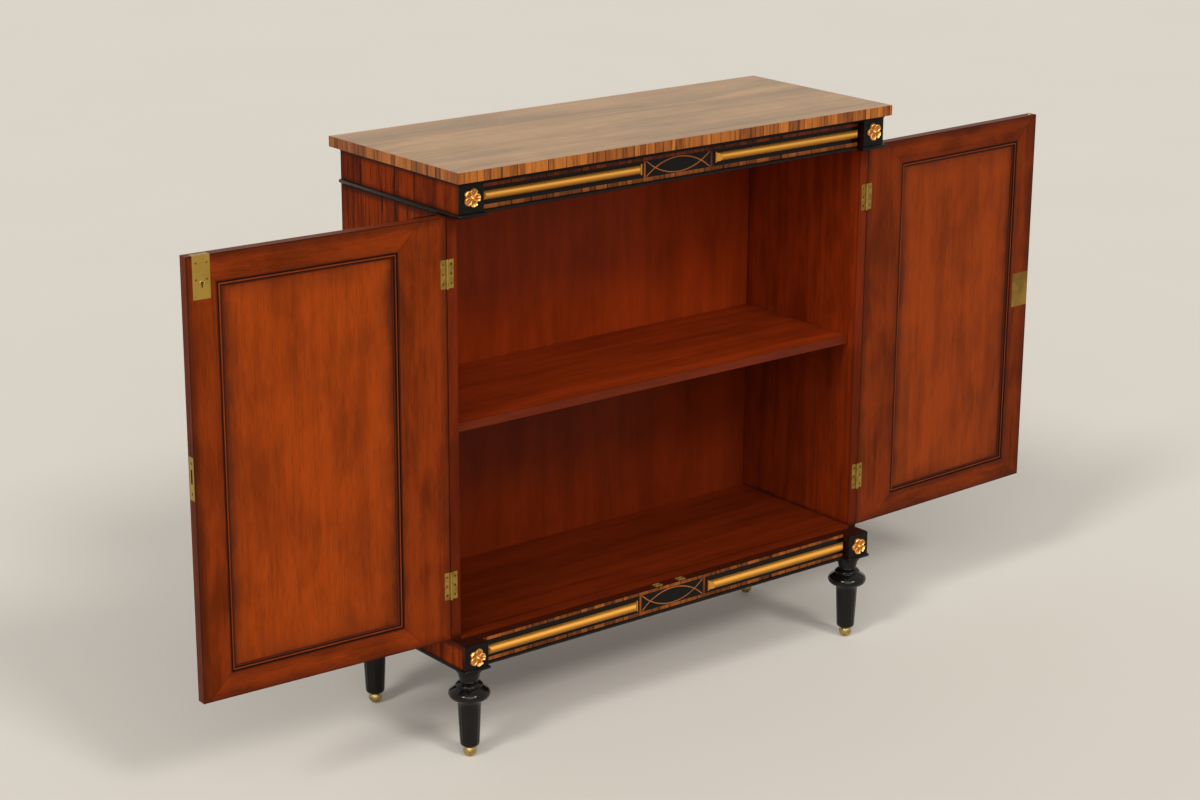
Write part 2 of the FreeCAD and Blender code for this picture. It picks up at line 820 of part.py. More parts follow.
def door_keepers():
    """Two small brass plates on the ledge, each with a dimple for its catch."""
    plates = []
    for x in keeper_xs():
        plate = box(x - keeper_long / 2, x + keeper_long / 2, door_mid - keeper_wide / 2,
                    door_mid + keeper_wide / 2, ledge_top, ledge_top + keeper_thick)
        plates.append(cut_all(plate, keeper_holes()))
    return plates


# Doors, modelled closed on the right-hand side

def place_door(shape, right):
    """Swing a piece of the closed right door open, and mirror it for the left door."""
    opened = shape.copy()
    opened.rotate(Vec(axis_x, axis_y, 0), Z_AXIS, open_angle)
    return opened if right else mirrored(opened)


def door_frame(right):
    """Two stiles and two rails, cut for the hinges, the lock and the catches."""
    hinge_side = box(opening_x1, hinge_x, door_inner, door_outer, door_low, door_high)
    free_side = box(free_x, opening_x0, door_inner, door_outer, door_low, door_high)
    low = box(opening_x0, opening_x1, door_inner, door_outer, door_low, opening_z0)
    high = box(opening_x0, opening_x1, door_inner, door_outer, opening_z1, door_high)
    for z in hinge_zs:
        hinge_side = cut_all(hinge_side, hinge_room(z, True))
    cuts = [catch_room(catch_from_edge, door_low, Z_AXIS)]
    if right:
        cuts += [cross_lock_room(), escutcheon_hole(), catch_room(bullet_from_edge, door_high, -Z_AXIS)]
    else:
        cuts += [upright_lock_room(), edge_plate(), edge_pocket()]
        cuts += [screw_hole(at, X_AXIS) for at in edge_screw_places()]
    return [hinge_side, cut_all(free_side, cuts), low, high]


def door_panel():
    """The flat mahogany panel behind the moulding."""
    return box(opening_x0 + panel_play, opening_x1 - panel_play, panel_face, mirror_back,
               opening_z0 + panel_play, opening_z1 - panel_play)


def door_mirror():
    return box(opening_x0 + panel_play, opening_x1 - panel_play, mirror_back, mirror_face,
               opening_z0 + panel_play, opening_z1 - panel_play)


def door_moulding():
    """The inner moulding: a fillet, a bead between two grooves and a slope to the panel."""
    points = [Vec(0, share_y * panel_recess + panel_face, share_x * mould_wide)
              for share_x, share_y in mould_shares]
    return mitred_frame(opening_x0, opening_x1, opening_z0, opening_z1, polygon(points), mould_wide)


def mirror_frame():
    """The gilt half-round frame that holds the mirror from outside."""
    base = door_outer
    high = door_outer - mirror_frame_proud
    start = Vec(0, mirror_face, 0)
    edge = Vec(0, base, 0)
    crest = Vec(0, high, mirror_frame_wide / 2)
    inner = Vec(0, base, mirror_frame_wide)
    end = Vec(0, mirror_face, mirror_frame_wide)
    edges = [Part.LineSegment(start, edge).toShape(), Part.Arc(edge, crest, inner).toShape(),
             Part.LineSegment(inner, end).toShape(), Part.LineSegment(end, start).toShape()]
    return mitred_frame(opening_x0, opening_x1, opening_z0, opening_z1, Part.Face(Part.Wire(edges)),
                        mirror_frame_wide)


def pilaster_middle():
    return hinge_x - pilaster_inset - pilaster_wide / 2


def pilaster():
    """A black strip on the hinge stile, in line with the corner blocks, with thicker ends."""
    x = pilaster_middle()
    face = door_outer - pilaster_thick
    low = door_low + pilaster_end_gap
    high = door_high - pilaster_end_gap
    left = x - pilaster_wide / 2
    right = x + pilaster_wide / 2
    strip = box(left, right, door_outer, face, low, high)
    rod_low = low + pilaster_rod_gap
    rod_high = high - pilaster_rod_gap
    foot = box(left, right, face, face - plinth_pad, low, rod_low)
    head = box(left, right, face, face - plinth_pad, rod_high, high)
    return strip.fuse([foot, head]).removeSplitter()


def pilaster_rod():
    """An upright gilt rod of D section between the pilaster's ends."""
    x = pilaster_middle()
    wall = door_outer - pilaster_thick
    low = door_low + pilaster_end_gap + pilaster_rod_gap
    high = door_high - pilaster_end_gap - pilaster_rod_gap
    rod = Part.makeCylinder(pilaster_rod_r, high - low, Vec(x, wall - rod_stem, low))
    stem = box(x - pilaster_rod_r, x + pilaster_rod_r, wall, wall - rod_stem, low, high)
    front = box(x - pilaster_rod_r, x + pilaster_rod_r, wall, wall - rod_stem - pilaster_rod_r, low, high)
    return rod.common(front).fuse(stem).removeSplitter()


# Locks

def upright_lock_box():
    x = free_x + upright_lock_from_edge
    return (x, x + upright_lock_wide, door_high - upright_lock_high, door_high)


def upright_lock_room():
    x0, x1, z0, z1 = upright_lock_box()
    return box(x0, x1, door_inner, door_inner - lock_depth, z0, z1)


def upright_lock_case():
    """The left door's lock: a closed brass case whose inner wall is the plate that shows."""
    x0, x1, z0, z1 = upright_lock_box()
    hollow = box(x0 + lock_wall, x1 - lock_wall, door_inner - lock_wall,
                 door_inner - lock_depth + lock_wall, z0 + lock_wall, z1 - lock_wall)
    x = free_x + upright_bolt_from_edge
    slot = box(x - upright_bolt_wide / 2 - slip, x + upright_bolt_wide / 2 + slip,
               door_mid - upright_bolt_thick / 2 - slip, door_mid + upright_bolt_thick / 2 + slip,
               z1 - lock_wall - over, z1 + over)
    key_x = free_x + keyhole_from_edge
    key_z = door_high - keyhole_drop
    hole = keyhole(key_x, door_inner, door_inner - lock_wall, key_z)
    pin_deep = lock_depth - lock_wall
    pin = Part.makeCylinder(drill_pin_r, pin_deep, Vec(key_x, door_inner - lock_depth + lock_wall, key_z), Y_AXIS)
    return upright_lock_room().cut(hollow).cut(slot).cut(hole).fuse(pin).removeSplitter()


def upright_bolt():
    """The left door's bolt, drawn back, its tip level with the door's top edge."""
    x = free_x + upright_bolt_from_edge
    low = door_high - upright_bolt_long
    y0 = door_mid - upright_bolt_thick / 2
    y1 = door_mid + upright_bolt_thick / 2
    bar = box(x - upright_bolt_wide / 2, x + upright_bolt_wide / 2, y0, y1, low, door_high)
    tail = box(x - upright_bolt_wide / 2, x - upright_bolt_wide / 2 + bolt_tail_wide, y0, y1,
               low, low + bolt_tail_high)
    key = Vec(free_x + keyhole_from_edge, y0 - over, door_high - keyhole_drop)
    room = Part.makeCylinder(talon_r + drill_pin_r, upright_bolt_thick + over * 2, key, Y_AXIS)
    slide = box(key.x - drill_pin_r - slip, key.x + drill_pin_r + slip, y0 - over, y1 + over,
                key.z - bolt_travel - slip, key.z)
    return bar.fuse(tail).cut(room).cut(slide).removeSplitter()


def cross_lock_box():
    return (free_x, free_x + cross_lock_wide, cross_lock_z - cross_lock_high / 2,
            cross_lock_z + cross_lock_high / 2)


def cross_lock_room():
    x0, x1, z0, z1 = cross_lock_box()
    return box(x0, x1, door_inner, door_inner - lock_depth, z0, z1)


def cross_bolt_slot(clear, x0, x1):
    """The passage that the right door's bolt moves in, with a given clearance."""
    return box(x0, x1, door_mid - cross_bolt_thick / 2 - clear, door_mid + cross_bolt_thick / 2 + clear,
               cross_bolt_z - cross_bolt_high / 2 - clear, cross_bolt_z + cross_bolt_high / 2 + clear)


def cross_lock_case():
    """The right door's lock: a plain plate inside, and a keyhole on the outer side."""
    x0, x1, z0, z1 = cross_lock_box()
    hollow = box(x0 + lock_wall, x1 - lock_wall, door_inner - lock_wall,
                 door_inner - lock_depth + lock_wall, z0 + lock_wall, z1 - lock_wall)
    hole = keyhole(free_x + keyhole_from_edge, door_inner - lock_depth, door_inner - lock_depth + lock_wall,
                   cross_lock_z)
    slot = cross_bolt_slot(slip, x0 - over, x0 + lock_wall + over)
    return cut_all(cross_lock_room(), [hollow, hole, slot])


def cross_bolt():
    """The right door's bolt, drawn back, its tip level with the door's edge."""
    bolt = cross_bolt_slot(0, free_x, free_x + cross_bolt_long)
    key = Vec(free_x + keyhole_from_edge, door_mid - cross_bolt_thick, cross_lock_z)
    return bolt.cut(Part.makeCylinder(keyhole_r, cross_bolt_thick * 2, key, Y_AXIS))


def escutcheon_hole():
    """The keyhole through the wood outside the right door's lock."""
    return keyhole(free_x + keyhole_from_edge, door_outer, door_inner - lock_depth, cross_lock_z)


def escutcheon():
    at = Vec(free_x + keyhole_from_edge, door_outer, cross_lock_z)
    disc = Part.makeCylinder(escutcheon_r, escutcheon_thick, at, -Y_AXIS)
    return disc.cut(keyhole(at.x, door_outer, door_outer - escutcheon_thick, at.z))


def edge_plate():
    """The room of the brass strike on the left door's free edge."""
    return box(free_x, free_x + edge_plate_thick, door_mid - edge_plate_wide / 2,
               door_mid + edge_plate_wide / 2, edge_plate_low, edge_plate_low + edge_plate_high)


def edge_pocket():
    """The slot and the pocket behind it that the right door's bolt enters."""
    return box(free_x - over, free_x + pocket_deep, door_mid - edge_slot_wide / 2,
               door_mid + edge_slot_wide / 2, cross_bolt_z - edge_slot_high / 2,
               cross_bolt_z + edge_slot_high / 2)


def edge_screw_places():
    low = edge_plate_low + edge_screw_margin
    high = edge_plate_low + edge_plate_high - edge_screw_margin
    return [Vec(free_x, door_mid, z) for z in (low, high)]


def edge_strike():
    holes = [screw_hole(at, X_AXIS) for at in edge_screw_places()]
    return cut_all(edge_plate(), [edge_pocket()] + holes)


# Catches

def catch_room(from_edge, edge_z, inwards):
    """The hole in a door's edge for a catch sleeve."""
    at = Vec(free_x + from_edge, door_mid, edge_z)
    return Part.makeCylinder(catch_sleeve_r, catch_sleeve_high, at, inwards)


def catch_sleeve(from_edge, edge_z, inwards):
    """A brass sleeve with a blind bore for its plunger."""
    at = Vec(free_x + from_edge, door_mid, edge_z)
    bore = Part.makeCylinder(plunger_r + slip, plunger_long + plunger_room, at, inwards)
    return catch_room(from_edge, edge_z, inwards).cut(bore)


def plunger(from_edge, tip_z, inwards):
    """A round-nosed plunger, sprung right out."""
    at = Vec(free_x + from_edge, door_mid, tip_z) + inwards * plunger_r
    return Part.makeCylinder(plunger_r, plunger_long - plunger_r, at, inwards).fuse(
        Part.makeSphere(plunger_r, at)).removeSplitter()


def low_plunger():
    return plunger(catch_from_edge, ledge_top + keeper_thick + keeper_clear, Z_AXIS)


def high_plunger():
    return plunger(bullet_from_edge, frieze_bottom - keeper_clear, -Z_AXIS)


def door_nodes(side, right):
    """Write every sub-part of one door."""
    def put(name, solids):
        save(side + "_" + name, [place_door(solid, right) for solid in solids])

    put("door_frame", door_frame(right))
    put("door_panel", [door_panel()])
    put("door_moulding", door_moulding())
    put("door_mirror", [door_mirror()])
    put("mirror_frame", mirror_frame())
    put("pilaster", [pilaster()])
    put("pilaster_rod", [pilaster_rod()])
    put("hinge_leaves", [hinge_leaf(z, True) for z in hinge_zs])
    spots = [place for z in hinge_zs for place in leaf_screws(z, True)]
    if not right:
        spots += [(at, X_AXIS) for at in edge_screw_places()]
    put("door_screws", [screw(at, into) for at, into in spots])
    sleeves = [catch_sleeve(catch_from_edge, door_low, Z_AXIS)]
    if right:
        sleeves.append(catch_sleeve(bullet_from_edge, door_high, -Z_AXIS))
    put("catch_sleeves", sleeves)
    put("catch_plunger", [low_plunger()])


def main():
    os.makedirs("parts", exist_ok=True)
    save("top_board", [top_board()])
    save("top_banding", top_banding())
    save("top_cove", [top_cove()])
    save("side_panel_left", [mirrored(side_panel())])
    save("side_panel_right", [side_panel()])
    save("back_panel", [back_panel()])
    save("ceiling_board", [box(-side_in, side_in, carcass_front, back_inner, frieze_bottom,
                               frieze_bottom + ceiling_thick)])
    save("bottom_board", [bottom_board()])
    save("shelf", [shelf()])
    save("shelf_pegs", [solid for y, z in peg_places() for solid in pair(shelf_peg(y, z))])
    save("frieze_rail", [frieze_rail()])
    save("plinth_front_rail", [plinth_front_rail()])
    save("plinth_rails", plinth_rails())

    frieze_strings = stringing(frieze_ground_low, frieze_ground_top)
    plinth_strings = stringing(plinth_ground_low, plinth_ground_top)
    frieze_plaque = plaque(frieze_ground_low, frieze_ground_top)
    plinth_plaque = plaque(plinth_ground_low, plinth_ground_top)
    frieze_bands = bandings(frieze_ground_low, frieze_ground_top, frieze_low_band, frieze_high_band, side_out)
    high_band = ledge_top - plinth_ground_top
    plinth_bands = bandings(plinth_ground_low, plinth_ground_top, plinth_low_band, high_band, plinth_out)
    save("frieze_ground", [ground_board(frieze_bottom, top_under, side_out, frieze_bands + [frieze_plaque])])
    save("plinth_ground", [ground_board(plinth_bottom, ledge_top, plinth_out, plinth_bands + [plinth_plaque])])
    save("rail_bandings", frieze_bands + plinth_bands)
    save("middle_plaques", [frieze_plaque.cut(frieze_strings), plinth_plaque.cut(plinth_strings)])
    save("plaque_stringing", [frieze_strings, plinth_strings])
    save("rail_rods", rail_rods(frieze_ground_low, frieze_ground_top, frieze_rod_raise, frieze_rod_r, side_out)
         + rail_rods(plinth_ground_low, plinth_ground_top, -plinth_rod_drop, plinth_rod_r, plinth_out))
    frieze_bead = half_round(0, frieze_bead_proud, frieze_bottom, frieze_bottom + frieze_bead_high)
    plinth_bead = half_round(0, plinth_bead_proud, plinth_bottom, plinth_bottom + plinth_bead_high)
    save("frieze_bead", [along_path(frieze_bead, bead_path(side_out))])
    save("plinth_bead", [along_path(plinth_bead, bead_path(plinth_out))])
    save("corner_blocks", upper_blocks() + pair(lower_block()) + pair(rear_block()))
    save("block_faces", block_faces())
    save("rosettes", rosettes())
    save("legs", [leg(at) for at in leg_places()])
    save("ball_feet", [ball_foot(at) for at in leg_places()])
    save("cabinet_strikes", frieze_strikes() + door_keepers())

    cabinet_leaves = [solid for z in hinge_zs for solid in pair(hinge_leaf(z, False))]
    save("cabinet_hinge_leaves", cabinet_leaves)
    save("hinge_pins", [solid for z in hinge_zs for solid in pair(hinge_pin(z))])
    screws = [screw(at, into) for z in hinge_zs for at, into in leaf_screws(z, False)]
    screws = [solid for one in screws for solid in pair(one)]
    screws += [screw(at, Z_AXIS) for at in strike_screw_places()]
    screws += [screw(at, -Z_AXIS) for at in keeper_screw_places()]
    save("cabinet_screws", screws)

    door_nodes("left", False)
    door_nodes("right", True)
    save("left_lock_case", [place_door(upright_lock_case(), False)])
    save("left_lock_bolt", [place_door(upright_bolt(), False)])
    save("left_edge_strike", [place_door(edge_strike(), False)])
    save("right_lock_case", [place_door(cross_lock_case(), True)])
    save("right_lock_bolt", [place_door(cross_bolt(), True)])
    save("right_escutcheon", [place_door(escutcheon(), True)])
    save("right_bullet", [place_door(high_plunger(), True)])


main()
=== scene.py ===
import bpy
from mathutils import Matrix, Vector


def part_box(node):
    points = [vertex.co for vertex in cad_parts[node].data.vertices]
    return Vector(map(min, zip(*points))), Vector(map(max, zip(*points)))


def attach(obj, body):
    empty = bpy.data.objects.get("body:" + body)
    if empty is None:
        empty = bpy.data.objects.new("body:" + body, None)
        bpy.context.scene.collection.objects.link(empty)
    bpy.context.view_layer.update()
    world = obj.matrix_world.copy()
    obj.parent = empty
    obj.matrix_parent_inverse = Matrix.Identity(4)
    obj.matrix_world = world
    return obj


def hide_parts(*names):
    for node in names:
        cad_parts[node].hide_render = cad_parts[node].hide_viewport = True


bl_info = {
    "name": "Mirrored cabinet finishes",
    "version": (1, 0, 0),
    "blender": (4, 5, 0),
    "location": "3D View > Sidebar > Cabinet",
    "description": "Veneers, ebonised and gilt work, carved rosettes, reeded legs and a plain studio",
    "category": "Object",
}

import math

import bmesh
import bpy
from bpy.props import FloatProperty, FloatVectorProperty, IntProperty, PointerProperty
from mathutils import Matrix, Vector

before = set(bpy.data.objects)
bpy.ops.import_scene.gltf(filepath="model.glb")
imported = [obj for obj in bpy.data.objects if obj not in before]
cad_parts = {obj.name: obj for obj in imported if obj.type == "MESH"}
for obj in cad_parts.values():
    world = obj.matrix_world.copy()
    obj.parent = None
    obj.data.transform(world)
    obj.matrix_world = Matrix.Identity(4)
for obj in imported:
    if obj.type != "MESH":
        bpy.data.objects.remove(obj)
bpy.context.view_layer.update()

# The way along X that each side lies
WAYS = {"left": -1, "right": 1}

# How far an open door stands past flat
OPEN_PAST_FLAT = math.radians(2.5)

# Faces that meet at less than this look smooth
SMOOTH_UNDER = math.radians(40)

# Width of the moulding inside a door's frame
MOULDING = 0.010

# Places across that moulding and the share of the panel's colour that each keeps: painted shade in the
# grooves and a painted highlight on the bead's crest
MOULDING_SHADE_AND_HIGHLIGHT = ((0.0, 0.10), (0.10, 0.05), (0.22, 0.06), (0.29, 0.45), (0.40, 1.0), (0.51, 0.45),
                  (0.58, 0.06), (0.70, 0.08), (0.82, 0.3), (1.0, 0.2))

# Each door's share of the doors' colours: painted light, the left door lighter and the right one darker as
# light falls off across them
DOOR_PAINTED_LIGHT = {"left": 1.05, "right": 0.9}

# How far past the moulding, up and down, the box reaches that darkens a door panel's edges with glaze and
# painted shade
RAIL_GLAZE_AND_SHADE = Vector((0.0, 0.0, 0.008))

# Radii and heights of a lock pin's head, and places of the pins in shares of the plate
PIN_PROFILE = ((0.0019, -0.0002), (0.00195, 0.0001), (0.0016, 0.00042), (0.0009, 0.00062),
               (0.0001, 0.00068))
PINS_ACROSS = (0.2, 0.8)
PINS_UP = (0.45, 0.83)

# The eye of the left lock's keyhole, in from the plate's edge and down from its top
KEYHOLE_IN = 0.017
KEYHOLE_DOWN = 0.0465

# Radii and heights of the crescent over that eye, and where it starts and how far it turns
BUSH_PROFILE = ((0.0031, -0.0002), (0.0031, 0.0005), (0.0036, 0.0008), (0.0045, 0.0007), (0.0050, -0.0002))
BUSH_START = math.radians(-20)
BUSH_TURN = math.radians(220)

# Radii and heights down a turned leg; the neck, flange and heel are arcs through three points each
LEG_COLLAR = ((0.0236, 0.172), (0.0236, 0.166), (0.0206, 0.166), (0.0206, 0.1624))
LEG_NECK = ((0.0169, 0.1485), (0.01942, 0.14675), (0.0253, 0.1415))
LEG_RING = (0.0239, 0.1385)
LEG_FLANGE = ((0.0345, 0.1315), (0.0379, 0.12215), (0.0256, 0.1145))
LEG_SHAFT = ((0.0214, 0.1045), (0.0178, 0.0265))
LEG_HEEL = ((0.0177, 0.026), (0.01634, 0.02296), (0.0128, 0.0215))

# How far a leg's arrises are eased, and the angle under which a corner counts as one
LEG_ARRIS = 0.0006
LEG_EASED_UNDER = math.radians(150)

# Heights between which a leg's reeds run, and the lengths over which they fade at both ends
REEDS_TOP = 0.103
REEDS_FOOT = 0.029
REEDS_END_TOP = 0.004
REEDS_END_FOOT = 0.002

# How far out the legs stand, and the radius of their balls
FRONT_LEGS_OUT = 0.466
REAR_LEGS_OUT = 0.4675
BALL = 0.0123

# How far out and up the middles of the rosettes are
ROSETTES = {"upper": (0.4695, 1.03645), "lower": (0.4675, 0.2000)}

# Radius of the disc round a rosette's eye, and the height where the eye's dome starts
EYE_DISC = 0.0085
EYE_SPRING = 0.0034

# Heights over the block between which the red ground in a rosette gives way to gold
HOLLOW_LOW = 0.0018
HOLLOW_HIGH = 0.0040

# How far in from their outer faces the sides and the back, and the blocks, change colour
SKIN = 0.0005
BLOCK_SKIN = 0.0025

# A box edge this far off shades nothing
BEYOND = 3.0

# Height over which the boards fade into the painted shade under the shelf, and the colour of that painted
# shade
PAINTED_SHADE_FADE = 0.04
PAINTED_SHADE_COLOUR = (0.004, 0.001, 0.0005)

# Heights of the bumps in veneer, in rubbed metal and in black polish
GRAIN_RELIEF = 0.00005
RUBBED_RELIEF = 0.00001
POLISH_RELIEF = 0.000008

# Colour of the light, how far off the lamps stand, and half the floor's width
WARM_WHITE = (1.0, 0.97, 0.93)
LAMP_AWAY = 4.0
FLOOR_HALF = 30.0


# Sizes and colours that a user would change


def colour(label, value, note):
    return FloatVectorProperty(name=label, description=note, default=value, subtype="COLOR", size=3,
                               min=0, max=1)


def length(label, value, note):
    return FloatProperty(name=label, description=note, default=value, subtype="DISTANCE", unit="LENGTH",
                         min=0)


def strength(label, value, note):
    return FloatProperty(name=label, description=note, default=value, min=0)


class CabinetColours(bpy.types.PropertyGroup):
    top_light: colour("Top, light", (0.435, 0.246, 0.112), "Light figure of the top's veneer")
    top_dark: colour("Top, dark", (0.226, 0.136, 0.070), "Dark figure of the top's veneer")
    edge_light: colour("Edge, light", (0.46, 0.145, 0.020), "Light leaves of the crossbanding")
    edge_dark: colour("Edge, dark", (0.10, 0.018, 0.003), "Dark leaves of the crossbanding")
    # Painted shade: the band under the top has darker leaves than the bands beside the rods, for the shade
    # under the top's overhang
    band_light: colour("Upper band, light", (0.23, 0.038, 0.007), "Light leaves of the band under the top")
    band_low: colour("Bands, light", (0.31, 0.085, 0.014), "Light leaves of the bands beside the gilt rods")
    string: colour("Stringing", (0.36, 0.105, 0.024), "Thin arcs on the black plaques")
    side_light: colour("Side, light", (0.235, 0.029, 0.0010), "Light figure of the side veneer")
    side_dark: colour("Side, dark", (0.066, 0.007, 0.0004), "Dark figure of the side veneer")
    panel: colour("Door panel", (0.268, 0.0385, 0.0025), "Middle of the doors' inner panels")
    frame_wood: colour("Door frame", (0.192, 0.0265, 0.0026), "Stiles and rails of the doors")
    # The colour of the dark glaze and painted shade along edges and mouldings, and of specks and dark
    # crossband leaves
    rim: colour("Shading", (0.028, 0.006, 0.003), "Dark glaze along edges and mouldings")
    inside: colour("Inside", (0.260, 0.029, 0.0040), "Shelf, sides and boards inside")
    back: colour("Back", (0.115, 0.050, 0.024), "Plain stained back")
    black: colour("Ebonised wood", (0.0032, 0.0028, 0.0024), "Polished black")
    rubbed_black: colour("Ebonised wood, rubbed", (0.007, 0.0042, 0.003), "Black polish rubbed thin")
    gilt: colour("Gilding", (0.92, 0.45, 0.075), "Gilded rods and frames")
    gilt_pale: colour("Gilding, pale", (0.95, 0.76, 0.46), "Burnished gold, mixed into the rosettes")
    # Painted shade: the darker gold given to gilding on faces that look down
    gilt_under: colour("Gilding, shaded", (0.30, 0.105, 0.010), "Gilding on faces that look down")
    bole: colour("Worn gilding", (0.30, 0.085, 0.012), "Red-brown ground in the hollows of the gilding")
    brass: colour("Brass", (0.45, 0.29, 0.060), "Hinges, locks and balls")
    tarnish: colour("Tarnish", (0.16, 0.085, 0.018), "Darker patches on the brass")
    mirror: colour("Mirror", (0.88, 0.90, 0.90), "Silvered glass")
    floor: colour("Floor", (0.66, 0.63, 0.58), "Plain pale floor")
    backdrop: colour("Backdrop", (0.71, 0.66, 0.58), "Pale backdrop over the horizon")


class CabinetGrain(bpy.types.PropertyGroup):
    stripe: length("Stripe", 0.022, "Width of the veneer's broad stripes")
    pore: length("Pore", 0.0007, "Width of a pore")
    leaf: length("Leaf", 0.017, "Width of one leaf of crossbanding")
    # The darkening over a door panel is dark glaze and painted shade by the moulding
    glaze: length("Glaze", 0.017, "How far the dark glaze reaches in over a door panel")
    speck: length("Speck", 0.0009, "Size of the largest specks in the finish")
    arris: length("Arris", 0.0006, "How far the arrises are eased")


class CabinetCarving(bpy.types.PropertyGroup):
    petals: IntProperty(name="Petals", description="Petals round one rosette", default=5, min=4, max=10)
    first_petal: FloatProperty(name="First petal", description="Turn of the first petal from upright",
                               default=math.radians(20), subtype="ANGLE", unit="ROTATION")
    reach: length("Rosette radius", 0.0179, "From the eye to a petal's tip")
    petal_wide: length("Petal width", 0.0158, "Widest part of one petal")
    petal_high: length("Petal height", 0.0052, "Height of a petal's curled rim")
    eye: length("Eye radius", 0.0034, "Radius of the rosette's eye")
    eye_high: length("Eye height", 0.0068, "Height of the rosette's eye")
    reeds: IntProperty(name="Reeds", description="Reeds round one leg", default=16, min=8, max=32)
    reed_deep: length("Reed depth", 0.0005, "Depth of the grooves between the reeds")


class CabinetStage(bpy.types.PropertyGroup):
    camera_place: FloatVectorProperty(name="Camera place", description="Where the camera stands",
                                      default=(-3.0022, -3.7192, 2.0200), subtype="TRANSLATION",
                                      unit="LENGTH", size=3)
    camera_turn: FloatVectorProperty(name="Camera turn", description="Heading, tilt and roll of the camera",
                                     default=(math.radians(-38.5129), math.radians(72.8617),
                                              math.radians(0.2817)), subtype="EULER", unit="ROTATION",
                                     size=3)
    lens: FloatProperty(name="Lens", description="Focal length", default=79.0, unit="CAMERA")
    left_lamp: strength("Left lamp", 1.25, "Strength of the lamp on the left")
    right_lamp: strength("Right lamp", 1.1, "Strength of the lamp on the right")
    front_lamp: strength("Front lamp", 1.5, "Strength of the lamp over the camera")
    room: strength("Room light", 0.36, "Strength of the light from all round")


class CabinetLook(bpy.types.PropertyGroup):
    colours: PointerProperty(type=CabinetColours, name="Colours", description="Colours of the finishes")
    grain: PointerProperty(type=CabinetGrain, name="Grain", description="Sizes of the grain")
    carving: PointerProperty(type=CabinetCarving, name="Carving", description="Rosettes and legs")
    stage: PointerProperty(type=CabinetStage, name="Stage", description="Camera and light")


def look():
    return bpy.context.scene.cabinet_look


def scaled(tone, share):
    """A colour with each of its channels times a share."""
    return tuple(channel * share for channel in tone)


# Node trees


class Bench:
    """Adds nodes to one tree and joins their sockets."""

    def __init__(self, tree):
        self.tree = tree

    def node(self, kind, **settings):
        made = self.tree.nodes.new(kind)
        for key, value in settings.items():
            setattr(made, key, value)
        return made

    def put(self, socket, value):
        if isinstance(value, bpy.types.NodeSocket):
            self.tree.links.new(value, socket)
        elif socket.type == "RGBA" and len(value) == 3:
            socket.default_value = (*value, 1.0)
        else:
            socket.default_value = value

    def fill(self, sockets, *values):
        for socket, value in zip(sockets, values):
            self.put(socket, value)

    def feed(self, made, **values):
        """Put values on a node's named inputs, with _ for a space, and give its outputs."""
        for key, value in values.items():
            self.put(made.inputs[key.replace("_", " ")], value)
        return made.outputs

    def math(self, operation, a, b=0.0, clamp=False):
        made = self.node("ShaderNodeMath", operation=operation, use_clamp=clamp)
        self.fill(made.inputs, a, b)
        return made.outputs[0]

    def plus(self, a, b, clamp=False):
        return self.math("ADD", a, b, clamp)

    def minus(self, a, b):
        return self.math("SUBTRACT", a, b)

    def times(self, a, b):
        return self.math("MULTIPLY", a, b)

    def rest(self, value):
        """What is left of 1."""
        return self.math("SUBTRACT", 1.0, value)

    def unsigned(self, value):
        """The value without its sign."""
        return self.math("ABSOLUTE", value)

    def vector(self, operation, a, b):
        made = self.node("ShaderNodeVectorMath", operation=operation)
        self.put(made.inputs[0], a)
        self.put(made.inputs["Scale" if operation == "SCALE" else 1], b)
        return made.outputs[0]

    def join(self, x, y, z):
        made = self.node("ShaderNodeCombineXYZ")
        self.fill(made.inputs, x, y, z)
        return made.outputs[0]

    def split(self, vector):
        made = self.node("ShaderNodeSeparateXYZ")
        self.put(made.inputs[0], vector)
        return made.outputs

    def ramp(self, value, low, high):
        """0 at low, 1 at high, smooth between."""
        made = self.node("ShaderNodeMapRange", interpolation_type="SMOOTHSTEP")
        return self.feed(made, Value=value, From_Min=low, From_Max=high)["Result"]

    def noise(self, vector, scale=1.0, detail=3.0, rough=0.5, distortion=0.0):
        return self.feed(self.node("ShaderNodeTexNoise"), Vector=vector, Scale=scale, Detail=detail,
                         Roughness=rough, Distortion=distortion)

    def random(self, value):
        """A random number for each whole number."""
        return self.feed(self.node("ShaderNodeTexWhiteNoise", noise_dimensions="1D"), W=value)["Value"]

    def mix(self, share, a, b, blend="MIX"):
        made = self.node("ShaderNodeMix", data_type="RGBA", blend_type=blend)
        self.put(made.inputs[0], share)
        self.put(made.inputs[6], a)
        self.put(made.inputs[7], b)
        return made.outputs[2]

    def mix_vectors(self, share, a, b):
        made = self.node("ShaderNodeMix", data_type="VECTOR")
        self.put(made.inputs[0], share)
        self.put(made.inputs[4], a)
        self.put(made.inputs[5], b)
        return made.outputs[1]

    def stops(self, value, tones):
        """A grey tone at each given place along the value, straight between them."""
        made = self.node("ShaderNodeValToRGB")
        band = made.color_ramp.elements
        while len(band) < len(tones):
            band.new(0.5)
        for stop, (place, tone) in zip(band, tones):
            stop.position = place
            stop.color = (tone, tone, tone, 1.0)
        self.put(made.inputs[0], value)
        return made.outputs[0]

    def group(self, tree, **values):
        return self.feed(self.node("ShaderNodeGroup", node_tree=tree), **values)


def new_group(name, inputs, outputs):
    """An empty shader node group with named sockets, and the bench to fill it."""
    tree = bpy.data.node_groups.new(name, "ShaderNodeTree")
    for label, kind, value in inputs:
        socket = tree.interface.new_socket(label, in_out="INPUT", socket_type="NodeSocket" + kind)
        if value is not None:
            socket.default_value = value
    for label in outputs:
        tree.interface.new_socket(label, in_out="OUTPUT", socket_type="NodeSocketFloat")
    bench = Bench(tree)
    entry = bench.node("NodeGroupInput").outputs
    leave = bench.node("NodeGroupOutput").inputs
    return tree, bench, entry, leave


def shared(fill):
    """Fill a node group the first time that it is asked for, and give the same one after that."""
    name = fill.__name__.replace("_", " ")

    def found():
        if name in bpy.data.node_groups:
            return bpy.data.node_groups[name]
        return fill(name)

    return found


